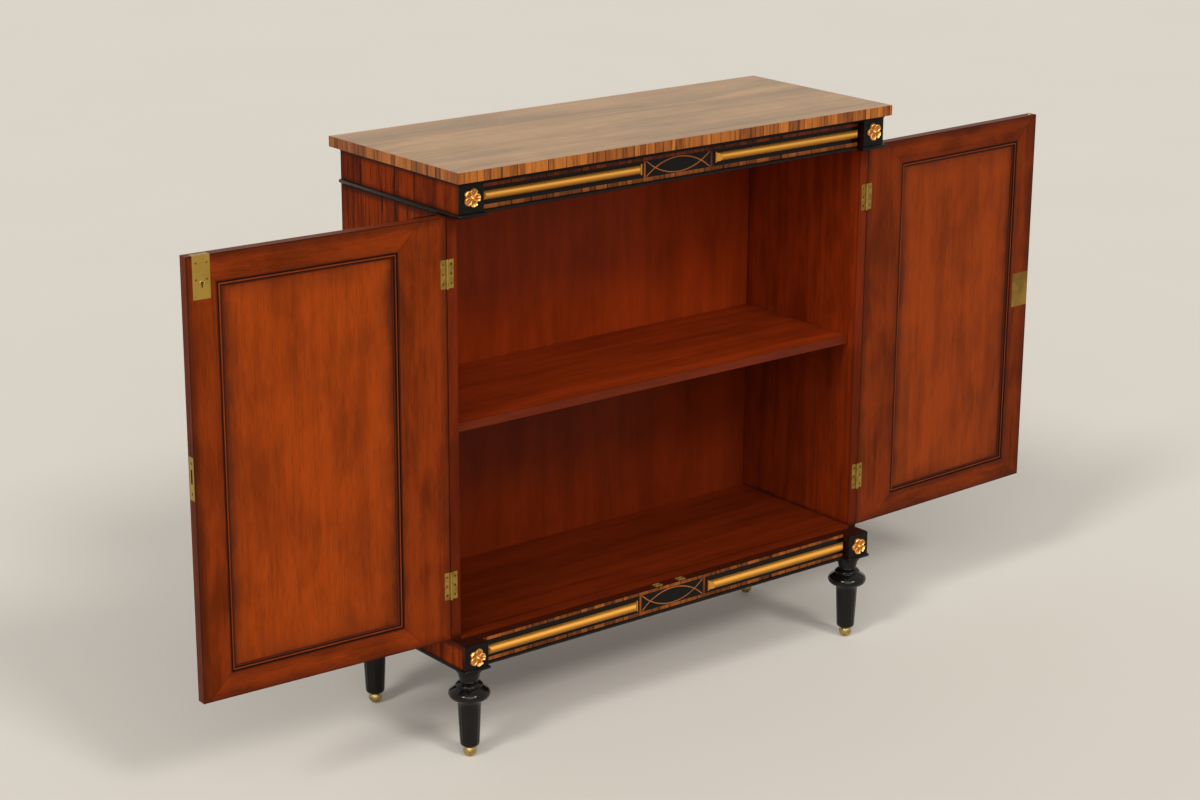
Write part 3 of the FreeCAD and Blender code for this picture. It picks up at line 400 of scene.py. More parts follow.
@shared
def veneer_grain(name):
    """Figure, clouds, dark lines and pores of a veneer whose grain runs along Z."""
    tree, bench, entry, leave = new_group(
        name,
        [("Position", "Vector", None), ("Stripe", "Float", 0.02), ("Pore", "Float", 0.0007),
         ("Swirl", "Float", 0.6)],
        ["Figure", "Clouds", "Lines", "Pores"])
    position, stripe, pore = entry["Position"], entry["Stripe"], entry["Pore"]
    stripe_long, pore_long = 12.0, 45.0
    wide = bench.vector("DIVIDE", position, bench.join(stripe, stripe, bench.times(stripe, stripe_long)))
    drift = bench.noise(wide, 0.45, 2.0)["Color"]
    drift = bench.vector("SCALE", bench.vector("SUBTRACT", drift, (0.5, 0.5, 0.5)), entry["Swirl"])
    bent = bench.vector("ADD", wide, drift)
    bench.put(leave["Figure"], bench.noise(bent, 1.0, 7.0, 0.7)["Fac"])
    blurred = bench.vector("MULTIPLY", position, (13.0, 13.0, 7.0))
    bench.put(leave["Clouds"], bench.noise(blurred, 1.0, 4.0, 0.55, 0.4)["Fac"])
    lines = []
    for level, closer in ((0.45, (2.0, 2.0, 0.16)), (0.54, (3.0, 3.0, 0.2))):
        value = bench.noise(bench.vector("MULTIPLY", bent, closer), 1.0, 1.0, 0.4)["Fac"]
        lines.append(bench.rest(bench.ramp(bench.unsigned(bench.minus(value, level)), 0.008, 0.032)))
    patches = bench.noise(bench.vector("MULTIPLY", bent, (0.9, 0.9, 0.8)), 1.0, 1.0)["Fac"]
    bench.put(leave["Lines"], bench.times(bench.math("MAXIMUM", *lines), bench.ramp(patches, 0.4, 0.6)))
    fine = bench.vector("DIVIDE", position, bench.join(pore, pore, bench.times(pore, pore_long)))
    bench.put(leave["Pores"], bench.ramp(bench.noise(fine, 1.0, 2.0, 0.6)["Fac"], 0.50, 0.74))
    return tree


@shared
def crossband_leaves(name):
    """Tone of each leaf of crossbanding and the dark joints between leaves."""
    tree, bench, entry, leave = new_group(
        name, [("Along", "Float", 0.0), ("Leaf", "Float", 0.024)], ["Tone", "Joint"])
    run = bench.math("DIVIDE", entry["Along"], entry["Leaf"])
    wander = bench.noise(bench.join(run, 0.0, 0.0), 0.55, 1.0)["Fac"]
    run = bench.plus(run, bench.times(wander, 2.6))
    bench.put(leave["Tone"], bench.random(bench.math("FLOOR", run)))
    part = bench.math("FRACT", run)
    nearest = bench.math("MINIMUM", part, bench.rest(part))
    joint = bench.rest(bench.ramp(nearest, 0.02, 0.085))
    seen = bench.ramp(bench.random(bench.plus(bench.math("ROUND", run), 0.5)), 0.1, 0.5)
    bench.put(leave["Joint"], bench.times(joint, seen))
    return tree


@shared
def rim_distance(name):
    """Distance in from the edges of an upright rectangle, less than 0 outside it."""
    tree, bench, entry, leave = new_group(
        name, [("Position", "Vector", None), ("Centre", "Vector", None), ("Half", "Vector", None)],
        ["Distance"])
    off = bench.split(bench.vector("SUBTRACT", entry["Position"], entry["Centre"]))
    half = bench.split(entry["Half"])
    inside = [bench.minus(half[axis], bench.unsigned(off[axis])) for axis in (0, 2)]
    bench.put(leave["Distance"], bench.math("MINIMUM", *inside))
    return tree


@shared
def rim_glaze(name):
    """1 along a rectangle's edges, fading unevenly to 0 on both sides of them."""
    tree, bench, entry, leave = new_group(
        name, [("Position", "Vector", None), ("Distance", "Float", 0.0), ("Width", "Float", 0.02)],
        ["Shade"])
    width = entry["Width"]
    patchy = bench.noise(entry["Position"], 16.0, 3.0, 0.5)["Fac"]
    patchy = bench.times(bench.minus(patchy, 0.5), width)
    away = bench.plus(bench.unsigned(entry["Distance"]), patchy)
    bench.put(leave["Shade"], bench.rest(bench.ramp(away, bench.times(width, 0.1), width)))
    return tree


@shared
def looking_down(name):
    """1 on faces that look down, fading to 0 on those that look up: the mask of painted shade on gilding."""
    tree, bench, entry, leave = new_group(name, [("Normal", "Vector", None)], ["Mask"])
    level = bench.split(entry["Normal"])[2]
    bench.put(leave["Mask"], bench.rest(bench.ramp(level, -0.45, 0.62)))
    return tree


@shared
def finish_specks(name):
    """Scattered small dark specks in an old finish."""
    tree, bench, entry, leave = new_group(
        name, [("Position", "Vector", None), ("Size", "Float", 0.001)], ["Mask"])
    specks_per_metre = 38.0
    cells = bench.feed(bench.node("ShaderNodeTexVoronoi"), Vector=entry["Position"], Scale=specks_per_metre)
    pick = bench.split(cells["Color"])
    kept = bench.math("GREATER_THAN", pick[0], 0.72)
    size = bench.times(bench.times(entry["Size"], specks_per_metre), pick[1])
    dot = bench.rest(bench.ramp(cells["Distance"], bench.times(size, 0.5), size))
    bench.put(leave["Mask"], bench.times(dot, kept))
    return tree


@shared
def hand_rubbing(name):
    """Patches and fine scratches left by rubbing, for metal, gilding and polish."""
    tree, bench, entry, leave = new_group(
        name, [("Position", "Vector", None), ("Patch", "Float", 0.01)], ["Patches", "Scratches"])
    patch = entry["Patch"]
    place = bench.vector("DIVIDE", entry["Position"], bench.join(patch, patch, patch))
    bench.put(leave["Patches"], bench.ramp(bench.noise(place, 1.0, 4.0, 0.6)["Fac"], 0.35, 0.7))
    drawn = bench.vector("MULTIPLY", place, (3.0, 3.0, 40.0))
    bench.put(leave["Scratches"], bench.noise(drawn, 1.0, 3.0, 0.7)["Fac"])
    return tree


# Finishes


def new_material(name):
    """A material with an empty bench, its shader and its object position."""
    made = bpy.data.materials.new(name)
    made.use_nodes = True
    bench = Bench(made.node_tree)
    shader = made.node_tree.nodes["Principled BSDF"]
    position = bench.node("ShaderNodeTexCoord").outputs["Object"]
    return made, bench, shader, position


def bump(bench, shader, height, distance):
    bumps = bench.feed(bench.node("ShaderNodeBump"), Height=height, Distance=distance)
    bench.feed(shader, Normal=bumps["Normal"])


def along(bench, position, axis):
    """The position turned so that the named axis becomes Z, the grain's direction."""
    x, y, z = bench.split(position)
    order = {"X": (y, z, x), "Z": (x, y, z)}
    return bench.join(*order[axis])


def rim_of(bench, position, low, high, flat):
    """Distance in from the edges of a box that is seen along its flat axis, X or Y."""
    centre = (low + high) / 2
    half = (high - low) / 2
    if flat == "X":
        x, y, z = bench.split(position)
        position = bench.join(y, x, z)
        centre = centre.yxz
        half = half.yxz
    return bench.group(rim_distance(), Position=position, Centre=centre, Half=half)["Distance"]


def railed(bench, position, upright, low, high):
    """Lay a frame's grain level on its rails. Gives that and a mask of the mitres outside the box in it."""
    off = bench.split(bench.vector("SUBTRACT", position, (low + high) / 2))
    beyond_x, beyond_z = (bench.minus(bench.unsigned(off[axis]), (high - low)[axis] / 2) for axis in (0, 2))
    higher = bench.minus(beyond_z, beyond_x)
    on_rail = bench.math("GREATER_THAN", higher, 0.0)
    grain = bench.mix_vectors(on_rail, upright, along(bench, position, "X"))
    mitre = bench.rest(bench.ramp(bench.unsigned(higher), 0.0004, 0.0014))
    return grain, bench.times(mitre, bench.math("GREATER_THAN", beyond_x, 0.0))


def dimmed(bench, position, base, height, lost):
    """Paint shade: take a share of a colour away below a height."""
    below = bench.rest(bench.ramp(bench.split(position)[2], height - PAINTED_SHADE_FADE, height))
    return bench.mix(bench.times(below, lost), base, PAINTED_SHADE_COLOUR)


def glazed(bench, position, base, glaze_and_shade_boxes):
    """Darken a colour along the edges of boxes, as dark glaze and painted shade. Faces that don't look along
    a flat Y take a third of it.
    """
    for low, high, width, share, flat in glaze_and_shade_boxes:
        shade = bench.group(rim_glaze(), Position=position, Width=width,
                            Distance=rim_of(bench, position, low, high, flat))["Shade"]
        if flat == "Y":
            normal = bench.split(bench.node("ShaderNodeTexCoord").outputs["Normal"])
            facing = bench.ramp(bench.unsigned(normal[1]), 0.4, 0.8)
            shade = bench.times(shade, bench.plus(bench.times(facing, 0.65), 0.35))
        base = bench.mix(bench.times(shade, share), base, look().colours.rim)
    return base


def wood(name, light, dark, grain="Z", stripe=1.0, swirl=0.6, cloudy=0.3, lines=0.5, pores=0.25,
         contrast=(0.3, 0.7), rough=0.3, gloss=0.15, coat=0.0, glaze_and_shade_boxes=(), stops=None, rails=None, leaf=0.0,
         skin=None, specks=0.5, painted_shade_below=None):
    """A polished veneer.

    glaze_and_shade_boxes: (low, high, width, share, flat axis) of each box whose edges are darkened. stops:
    the box of a
    moulding and the tones across it. rails: the box inside a frame whose rails meet its stiles in mitres.
    skin: (axis, limit, light, dark) gives the colours nearer the middle than that limit, where the lines are
    faint. painted_shade_below: painted shade, a height and the share of colour lost below it, on the skin
    where there is one.
    """
    values = look()
    made, bench, shader, position = new_material(name)
    turned = along(bench, position, grain)
    if rails:
        turned, mitre = railed(bench, position, turned, *rails)
    fibres = bench.group(veneer_grain(), Position=turned, Stripe=values.grain.stripe * stripe,
                         Pore=values.grain.pore, Swirl=swirl)
    tone = bench.plus(bench.times(fibres["Figure"], 1 - cloudy), bench.times(fibres["Clouds"], cloudy))
    tone = bench.ramp(tone, *contrast)
    if leaf:
        x, y, z = bench.split(position)
        leaves = bench.group(crossband_leaves(), Along=bench.plus(x, y), Leaf=values.grain.leaf * leaf)
        tone = bench.plus(bench.times(tone, 0.5), bench.times(leaves["Tone"], 0.62), clamp=True)
    if skin:
        axis, limit, inner_light, inner_dark = skin
        outer = bench.math("GREATER_THAN", bench.unsigned(bench.split(position)["XYZ".index(axis)]), limit)
        light = bench.mix(outer, inner_light, light)
        dark = bench.mix(outer, inner_dark, dark)
        lines = bench.times(bench.plus(bench.times(outer, 0.85), 0.15), lines)
    base = bench.mix(tone, dark, light)
    deep = bench.mix(0.8, dark, (0.0, 0.0, 0.0))
    base = bench.mix(bench.times(fibres["Lines"], lines), base, deep)
    if leaf:
        base = bench.mix(bench.times(leaves["Joint"], 0.85), base, deep)
    base = bench.mix(bench.times(fibres["Pores"], pores), base, deep)
    # Painted shade in a moulding's grooves and a painted highlight on its bead
    if stops:
        low, high, tones = stops
        factor = bench.stops(bench.math("DIVIDE", rim_of(bench, position, low, high, "Y"), MOULDING), tones)
        base = bench.mix(1.0, base, factor, blend="MULTIPLY")
    if rails:
        base = bench.mix(bench.times(mitre, 0.45), base, deep)
    base = glazed(bench, position, base, glaze_and_shade_boxes)
    # Painted shade below a height
    if painted_shade_below:
        height, lost = painted_shade_below
        if skin:
            lost = bench.times(bench.rest(outer), lost)
        base = dimmed(bench, position, base, height, lost)
    if specks:
        mask = bench.group(finish_specks(), Position=position, Size=values.grain.speck)["Mask"]
        base = bench.mix(bench.times(mask, specks), base, values.colours.rim)
    sheen = bench.plus(rough, bench.times(fibres["Pores"], 0.12))
    if stops:
        sheen = bench.minus(bench.plus(sheen, 0.4), bench.times(bench.split(factor)[0], 0.4))
    bench.feed(shader, Base_Color=base, Roughness=sheen, Specular_IOR_Level=gloss, Coat_Weight=coat,
               Coat_Roughness=0.16)
    relief = bench.minus(bench.times(fibres["Figure"], 0.5), fibres["Pores"])
    bump(bench, shader, relief, GRAIN_RELIEF)
    return made


def ebonised(name, rough=0.14, gloss=0.12, relief=POLISH_RELIEF):
    """Black polish, rubbed a little uneven."""
    values = look().colours
    made, bench, shader, position = new_material(name)
    rubbed = bench.group(hand_rubbing(), Position=position, Patch=0.018)
    base = bench.mix(bench.times(rubbed["Patches"], 0.3), values.black, values.rubbed_black)
    bench.feed(shader, Base_Color=base, Specular_IOR_Level=gloss,
               Roughness=bench.plus(rough, bench.times(rubbed["Patches"], 0.08)))
    bump(bench, shader, rubbed["Scratches"], relief)
    return made


def gilding(name, worn=0.15, rough=0.42, patch=0.06, shaded=0.85, pale=0.0, hollow=None):
    """Satin gold leaf over a red-brown ground. hollow: the Y of the wall behind carved work and the
    heights over it between which the ground gives way to gold."""
    values = look().colours
    leaf = tuple(gold + (light - gold) * pale for gold, light in zip(values.gilt, values.gilt_pale))
    made, bench, shader, position = new_material(name)
    rubbed = bench.group(hand_rubbing(), Position=position, Patch=patch)
    normal = bench.node("ShaderNodeNewGeometry").outputs["Normal"]
    # Painted shade: faces that look down are mixed towards a darker gold
    painted_shade_mask = bench.group(looking_down(), Normal=normal)["Mask"]
    base = bench.mix(bench.times(painted_shade_mask, shaded), leaf, values.gilt_under)
    wear = bench.times(rubbed["Patches"], worn)
    if hollow:
        wall, low, high = hollow
        height = bench.minus(wall, bench.split(position)[1])
        wear = bench.math("MAXIMUM", wear, bench.rest(bench.ramp(height, low, high)))
    bench.feed(shader, Base_Color=bench.mix(wear, base, values.bole),
               Metallic=bench.minus(0.9, bench.times(wear, 0.4)),
               Roughness=bench.plus(rough, bench.times(wear, 0.2)))
    bump(bench, shader, rubbed["Patches"], RUBBED_RELIEF)
    return made


def brass(name, rough=0.36, tarnished=0.55, patch=0.009, tint=(1.0, 1.0, 1.0), metallic=1.0):
    """Old brass with darker patches. tint: shares of its red, green and blue that are left."""
    values = look().colours
    made, bench, shader, position = new_material(name)
    rubbed = bench.group(hand_rubbing(), Position=position, Patch=patch)
    wear = bench.times(rubbed["Patches"], tarnished)
    clean, dirty = (tuple(channel * share for channel, share in zip(tone, tint))
                    for tone in (values.brass, values.tarnish))
    bench.feed(shader, Base_Color=bench.mix(wear, clean, dirty), Metallic=metallic,
               Roughness=bench.plus(rough, bench.times(wear, 0.25)))
    bump(bench, shader, rubbed["Scratches"], RUBBED_RELIEF)
    return made


def silvered_glass(name):
    """Mirror glass, faintly clouded."""
    values = look().colours
    made, bench, shader, position = new_material(name)
    rubbed = bench.group(hand_rubbing(), Position=position, Patch=0.12)
    base = bench.mix(rubbed["Patches"], values.mirror, scaled(values.mirror, 0.93))
    bench.feed(shader, Base_Color=base, Metallic=1.0, Roughness=bench.times(rubbed["Patches"], 0.03))
    return made


def dress(material, *nodes):
    """Give CAD nodes a material."""
    for name in nodes:
        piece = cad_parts[name]
        piece.data.materials.clear()
        piece.data.materials.append(material)


def eased(*nodes):
    """Ease the arrises of CAD nodes with modifiers."""
    for name in nodes:
        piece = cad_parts[name]
        joined = piece.modifiers.new("joined", "WELD")
        joined.merge_threshold = 0.00001
        soft = piece.modifiers.new("eased", "BEVEL")
        soft.width = look().grain.arris
        soft.segments = 2
        soft.limit_method = "ANGLE"
        soft.angle_limit = SMOOTH_UNDER
        soft.harden_normals = True


# Mesh making


def piece_from(name, mesh, material, body, replaced):
    """A finished object that rides on a body and stands for CAD nodes."""
    bmesh.ops.recalc_face_normals(mesh, faces=mesh.faces)
    data = bpy.data.meshes.new(name)
    mesh.to_mesh(data)
    mesh.free()
    data.polygons.foreach_set("use_smooth", [True] * len(data.polygons))
    data.set_sharp_from_angle(angle=SMOOTH_UNDER)
    data.materials.append(material)
    made = bpy.data.objects.new(name, data)
    bpy.context.scene.collection.objects.link(made)
    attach(made, body)
    if replaced:
        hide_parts(*replaced)


def join_rings(mesh, rings):
    """Join each closed ring of vertices to the next with faces."""
    for first, second in zip(rings, rings[1:]):
        for index in range(len(first)):
            after = (index + 1) % len(first)
            mesh.faces.new((first[index], first[after], second[after], second[index]))


def turn_up(mesh, place, radius_at, heights, count):
    """Stack closed rings of vertices up Z; radius_at(index, angle) gives each one's radius."""
    rings = []
    for index, height in enumerate(heights):
        ring = []
        for step in range(count):
            angle = 2 * math.pi * step / count
            radius = radius_at(index, angle)
            ring.append(mesh.verts.new(place + Vector((radius * math.cos(angle), radius * math.sin(angle),
                                                       height))))
        rings.append(ring)
    join_rings(mesh, rings)
    mesh.faces.new(list(reversed(rings[0])))
    mesh.faces.new(rings[-1])


def turn_profile(mesh, profile, count, stand):
    """Turn a profile of radii and heights, and stand it where a matrix puts it."""
    start = len(mesh.verts)
    turn_up(mesh, Vector(), lambda index, angle: profile[index][0], [high for radius, high in profile], count)
    mesh.verts.ensure_lookup_table()
    for vert in mesh.verts[start:]:
        vert.co = stand @ vert.co


def arc_through(start, crest, end, steps):
    """Points on the round arc from start through crest to end."""
    start, crest, end = Vector(start), Vector(crest), Vector(end)
    a, b = crest - start, end - start
    twice = 2 * (a.x * b.y - a.y * b.x)
    centre = start + Vector(((b.y * a.length_squared - a.y * b.length_squared) / twice,
                             (a.x * b.length_squared - b.x * a.length_squared) / twice))
    first, middle, last = (math.atan2((point - centre).y, (point - centre).x)
                           for point in (start, crest, end))
    turn = (last - first) % (2 * math.pi)
    if (middle - first) % (2 * math.pi) > turn:
        turn -= 2 * math.pi
    radius = (start - centre).length
    angles = [first + turn * step / steps for step in range(steps + 1)]
    return [centre + Vector((math.cos(angle), math.sin(angle))) * radius for angle in angles]


def leg_profile():
    """Radius and height down one turned leg, with its arrises eased."""
    points = [Vector(point) for point in LEG_COLLAR]
    points += arc_through(*LEG_NECK, 7)
    points.append(Vector(LEG_RING))
    points += arc_through(*LEG_FLANGE, 14)
    points += [Vector(point) for point in LEG_SHAFT]
    points += arc_through(*LEG_HEEL, 6)
    line = points[:1]
    for before, point, after in zip(points, points[1:], points[2:]):
        ways = (before - point, after - point)
        if ways[0].angle(ways[1]) < LEG_EASED_UNDER:
            line += [point + way.normalized() * min(LEG_ARRIS, way.length * 0.4) for way in ways]
        else:
            line.append(point)
    line.append(points[-1])
    return line


def reeded_leg(mesh, place, carving):
    """One turned leg whose tapering shaft has shallow reeds."""
    profile = leg_profile()
    rows = []
    for first, second in zip(profile, profile[1:]):
        steps = 12 if first.y - second.y > 0.05 else 1
        rows += [first.lerp(second, step / steps) for step in range(steps)]
    rows.append(profile[-1])

    def radius_at(index, angle):
        radius, height = rows[index]
        reach = min((REEDS_TOP - height) / REEDS_END_TOP, (height - REEDS_FOOT) / REEDS_END_FOOT, 1.0)
        if reach <= 0:
            return radius
        groove = abs(math.cos(angle * carving.reeds / 2)) ** 3
        return radius - carving.reed_deep * groove * reach

    turn_up(mesh, place, radius_at, [row.y for row in rows], 160)


def hump(value, middle, spread):
    """1 at the middle, falling towards 0 on both sides of it."""
    return math.exp(-((value - middle) / spread) ** 2)


def petal_height(out, across, carving):
    """Height of a petal's surface: out runs from 0 at the root to 1, across from -1 to 1."""
    rim = hump(abs(across), 0.74, 0.22) * (0.3 + 0.7 * out)
    curl = hump(out, 0.84, 0.15)
    vein = hump(across, 0.0, 0.14) * math.sin(math.pi * out) ** 0.5
    rolled = max(0.0, (max(abs(across), out) - 0.88) / 0.12)
    return carving.petal_high * (0.34 + 0.62 * max(rim, curl) + 0.16 * vein) * (1 - 0.42 * rolled ** 2)


def petal(mesh, centre, turn, carving):
    """One broad petal with a curled rim and a sunk middle, standing on the block."""
    rows, columns = 12, 10
    root = carving.eye * 0.6
    tops = []
    for row in range(rows + 1):
        out = row / rows
        half = carving.petal_wide / 2 * math.sin(math.pi * (0.10 + 0.74 * out ** 0.9)) ** 0.7
        line = []
        for column in range(-columns, columns + 1):
            across = column / columns
            notch = 0.05 * hump(across, 0.0, 0.22) * out ** 4
            reach = root + (carving.reach - root) * (out - notch - 0.17 * (across * out) ** 2)
            side = across * half
            off = Vector((reach * math.sin(turn) + side * math.cos(turn), -petal_height(out, across, carving),
                          reach * math.cos(turn) - side * math.sin(turn)))
            line.append(mesh.verts.new(centre + off))
        tops.append(line)
    for low, high in zip(tops, tops[1:]):
        for column in range(columns * 2):
            mesh.faces.new((low[column], low[column + 1], high[column + 1], high[column]))
    outline = (tops[0][:] + [line[-1] for line in tops[1:]] + tops[-1][-2::-1]
               + [line[0] for line in tops[-2:0:-1]])
    feet = [mesh.verts.new(Vector((vert.co.x, centre.y, vert.co.z))) for vert in outline]
    for index, vert in enumerate(outline):
        after = (index + 1) % len(outline)
        mesh.faces.new((outline[after], vert, feet[index], feet[after]))
    mesh.faces.new(feet)


def rosette_eye(mesh, centre, carving):
    """A domed eye inside a low ring, on the disc that fills the roots of the petals."""
    eye = carving.eye
    profile = [(EYE_DISC, 0.0), (EYE_DISC, 0.0014), (EYE_DISC * 0.9, 0.0018), (eye * 1.50, 0.0020),
               (eye * 1.42, 0.0036), (eye * 1.18, 0.0040), (eye, EYE_SPRING)]
    for step in range(1, 7):
        angle = math.pi / 2 * step / 7
        profile.append((eye * math.cos(angle),
                        EYE_SPRING + (carving.eye_high - EYE_SPRING) * math.sin(angle)))
    profile.append((eye * 0.06, carving.eye_high))
    turn_profile(mesh, profile, 28, Matrix.Translation(centre) @ Matrix.Rotation(math.pi / 2, 4, "X"))


def door_place(side, node):
    """How a node lies on its open door: the directions along the door and out of its inner face, and the
    spans along them and up."""
    corners = [vert.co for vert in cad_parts[node].data.vertices]
    way = WAYS[side]
    along_door = Vector((way * math.cos(OPEN_PAST_FLAT), math.sin(OPEN_PAST_FLAT), 0))
    out = Vector((way * along_door.y, -way * along_door.x, 0))
    spans = [(min(corner.dot(line) for corner in corners), max(corner.dot(line) for corner in corners))
             for line in (along_door, out, Vector((0, 0, 1)))]
    return along_door, out, spans


def lock_pins(side):
    """Four round-headed pins on the lock's plate."""
    along_door, out, ((near, far), (deep, face), (foot, head)) = door_place(side, side + "_lock_case")
    turn = out.to_track_quat("Z", "Y").to_matrix().to_4x4()
    mesh = bmesh.new()
    for across in PINS_ACROSS:
        for up in PINS_UP:
            centre = (along_door * (near + (far - near) * across) + out * face
                      + Vector((0, 0, foot + (head - foot) * up)))
            turn_profile(mesh, PIN_PROFILE, 20, Matrix.Translation(centre) @ turn)
    return mesh


def lock_bush(side):
    """A raised crescent over the eye of the lock's keyhole."""
    along_door, out, ((near, far), (deep, face), (foot, head)) = door_place(side, side + "_lock_case")
    centre = along_door * (far - KEYHOLE_IN) + out * face + Vector((0, 0, head - KEYHOLE_DOWN))
    mesh = bmesh.new()
    rings = []
    steps = 24
    for step in range(steps + 1):
        angle = BUSH_START + BUSH_TURN * step / steps
        across = along_door * math.cos(angle) + Vector((0, 0, math.sin(angle)))
        rings.append([mesh.verts.new(centre + across * radius + out * high) for radius, high in BUSH_PROFILE])
    join_rings(mesh, rings)
    mesh.faces.new(rings[0])
    mesh.faces.new(rings[-1])
    return mesh


def moulding_profile():
    """A fillet, a round bead between two grooves and a hollow slope, in shares of the width and depth."""
    profile = [(0.0, 0.0), (0.0, 0.93), (0.03, 0.99), (0.08, 0.99), (0.11, 0.66), (0.14, 0.62), (0.20, 0.62)]
    for step in range(11):
        angle = math.pi * (1 - step / 10)
        profile.append((0.40 + 0.18 * math.cos(angle), 0.64 + 0.36 * math.sin(angle)))
    profile += [(0.61, 0.5), (0.68, 0.5)]
    profile += [(0.70 + 0.30 * step / 6, 0.14 + 0.34 * (1 - step / 6) ** 2) for step in range(7)]
    profile.append((1.0, 0.0))
    return profile


def panel_moulding(side):
    """Sweep the inner moulding round a door's panel."""
    along_door, out, spans = door_place(side, side + "_door_moulding")
    (near, far), (deep, face), (foot, head) = spans
    mesh = bmesh.new()
    rings = []
    for inward, high in moulding_profile():
        step = inward * MOULDING
        level = out * (deep + (face - deep) * high)
        corners = ((near + step, foot + step), (far - step, foot + step), (far - step, head - step),
                   (near + step, head - step))
        rings.append([mesh.verts.new(along_door * a + level + Vector((0, 0, z))) for a, z in corners])
    join_rings(mesh, rings + rings[:1])
    return mesh


# Operators, one for each piece or group of like pieces


class CABINET_OT_top(bpy.types.Operator):
    """Veneer the top board, its crossbanded edge and the hollow moulding under it"""

    bl_idname = "cabinet.top"
    bl_label = "Top"

    def execute(self, context):
        tones = look().colours
        dress(wood("top veneer", tones.top_light, tones.top_dark, grain="X", stripe=2.6, swirl=2.2,
                   cloudy=0.25, lines=0.25, pores=0.2, contrast=(0.34, 0.66), rough=0.3, gloss=0.18,
                   coat=0.07), "top_board")
        dress(wood("edge crossband", tones.edge_light, tones.edge_dark, stripe=0.35, swirl=0.3, cloudy=0.1,
                   lines=0.8, leaf=1.0, contrast=(0.3, 0.66), gloss=0.2, specks=0), "top_banding")
        dress(ebonised("cove black", rough=0.3, gloss=0.05), "top_cove")
        return {"FINISHED"}


class CABINET_OT_carcass(bpy.types.Operator):
    """Finish the sides, the boards inside and the back"""

    bl_idname = "cabinet.carcass"
    bl_label = "Carcass"

    def execute(self, context):
        tones = look().colours
        dark_inside = scaled(tones.inside, 0.55)
        block_low, block_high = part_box("block_faces")
        side_low, side_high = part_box("side_panel_right")
        shelf_low, shelf_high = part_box("shelf")
        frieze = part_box("frieze_rail")[0].z
        levels = (block_high.z, frieze, side_low.z, block_low.z)
        # Darker along the edges of each zone of the sides; the narrow darkening along their front edges is
        # painted shadow of the gap beside the doors
        glaze_and_shade_boxes = [(Vector((0, block_low.y, low)), Vector((0, side_high.y, high)), 0.016, 0.6, "X")
                  for high, low in zip(levels, levels[1:])]
        glaze_and_shade_boxes.append((Vector((0, side_low.y, -BEYOND)), Vector((0, BEYOND, frieze)), 0.007, 0.5, "X"))
        outer = dict(stripe=1.0, swirl=1.4, cloudy=0.4, lines=0.9, contrast=(0.36, 0.60), gloss=0.025,
                     rough=0.4, glaze_and_shade_boxes=glaze_and_shade_boxes)
        # Painted shade: the inner faces of the sides darken below the shelf
        dress(wood("side veneer", tones.side_light, tones.side_dark, painted_shade_below=(shelf_high.z, 0.32),
                   skin=("X", side_high.x - SKIN, tones.inside, dark_inside), **outer),
              "side_panel_left", "side_panel_right", "frieze_rail", "plinth_front_rail")
        dress(wood("plinth veneer", tones.side_light, tones.side_dark, **outer), "plinth_rails")
        dress(wood("block veneer", tones.side_light, tones.side_dark,
                   skin=("X", side_high.x - BLOCK_SKIN, tones.black, tones.black), **outer), "corner_blocks")
        under_shelf = (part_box("bottom_board")[1].z + shelf_low.z) / 2
        board_edges = (Vector((0, shelf_low.y, -BEYOND)), Vector((0, BEYOND, BEYOND)), 0.005, 0.5, "X")
        # Painted shade: the bottom board darkens below the middle of the lower compartment
        dress(wood("inside boards", scaled(tones.inside, 0.88), dark_inside, grain="X", stripe=1.4,
                   swirl=0.9, cloudy=0.25, lines=0.25, contrast=(0.36, 0.64), gloss=0.08,
                   painted_shade_below=(under_shelf, 0.42), glaze_and_shade_boxes=[board_edges]),
              "bottom_board", "shelf", "ceiling_board")
        # Painted shade: the inner face of the back darkens below the shelf
        dress(wood("back boards", tones.back, scaled(tones.back, 0.7), stripe=2.0, swirl=0.8, cloudy=0.4,
                   lines=0.15, gloss=0.05, painted_shade_below=(shelf_high.z, 0.42),
                   skin=("Y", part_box("back_panel")[1].y - SKIN, tones.inside, dark_inside)), "back_panel")
        dress(brass("peg brass"), "shelf_pegs")
        return {"FINISHED"}


class CABINET_OT_rails(bpy.types.Operator):
    """Finish the black grounds, crossbands, plaques, stringing, beads and gilt rods"""

    bl_idname = "cabinet.rails"
    bl_label = "Decorated rails"

    def execute(self, context):
        tones = look().colours
        dress(ebonised("ground black", rough=0.24), "frieze_ground", "plinth_ground", "middle_plaques",
              "block_faces")
        dress(ebonised("bead black", rough=0.2, gloss=0.14), "frieze_bead", "plinth_bead")
        eased("block_faces", "frieze_bead", "plinth_bead")
        over_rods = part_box("rail_rods")[1].z + 0.002
        # Painted shade: above the rods the band takes the darker colours of the band under the top
        dress(wood("rail crossband", tones.band_light, tones.rim, stripe=0.35, swirl=0.3, cloudy=0.1,
                   lines=0.6, leaf=1.2, gloss=0.08, specks=0,
                   skin=("Z", over_rods, tones.band_low, tones.rim)), "rail_bandings")
        dress(gilding("rod gilding"), "rail_rods")
        dress(wood("string wood", tones.string, scaled(tones.string, 0.6), grain="X", stripe=0.3, lines=0.2,
                   specks=0), "plaque_stringing")
        return {"FINISHED"}


class CABINET_OT_rosettes(bpy.types.Operator):
    """Carve the four gilt rosettes"""

    bl_idname = "cabinet.rosettes"
    bl_label = "Rosettes"

    def execute(self, context):
        carving = look().carving
        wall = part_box("block_faces")[0].y
        material = gilding("rosette gilding", worn=0.2, rough=0.34, patch=0.008, shaded=0.5, pale=0.12,
                           hollow=(wall, HOLLOW_LOW, HOLLOW_HIGH))
        for level, (out, up) in ROSETTES.items():
            for side, way in WAYS.items():
                place = Vector((way * out, wall, up))
                mesh = bmesh.new()
                for index in range(carving.petals):
                    turn = -way * carving.first_petal + 2 * math.pi * index / carving.petals
                    petal(mesh, place, turn, carving)
                rosette_eye(mesh, place, carving)
                piece_from("rosette_" + level + "_" + side, mesh, material, "cabinet", ["rosettes"])
        return {"FINISHED"}


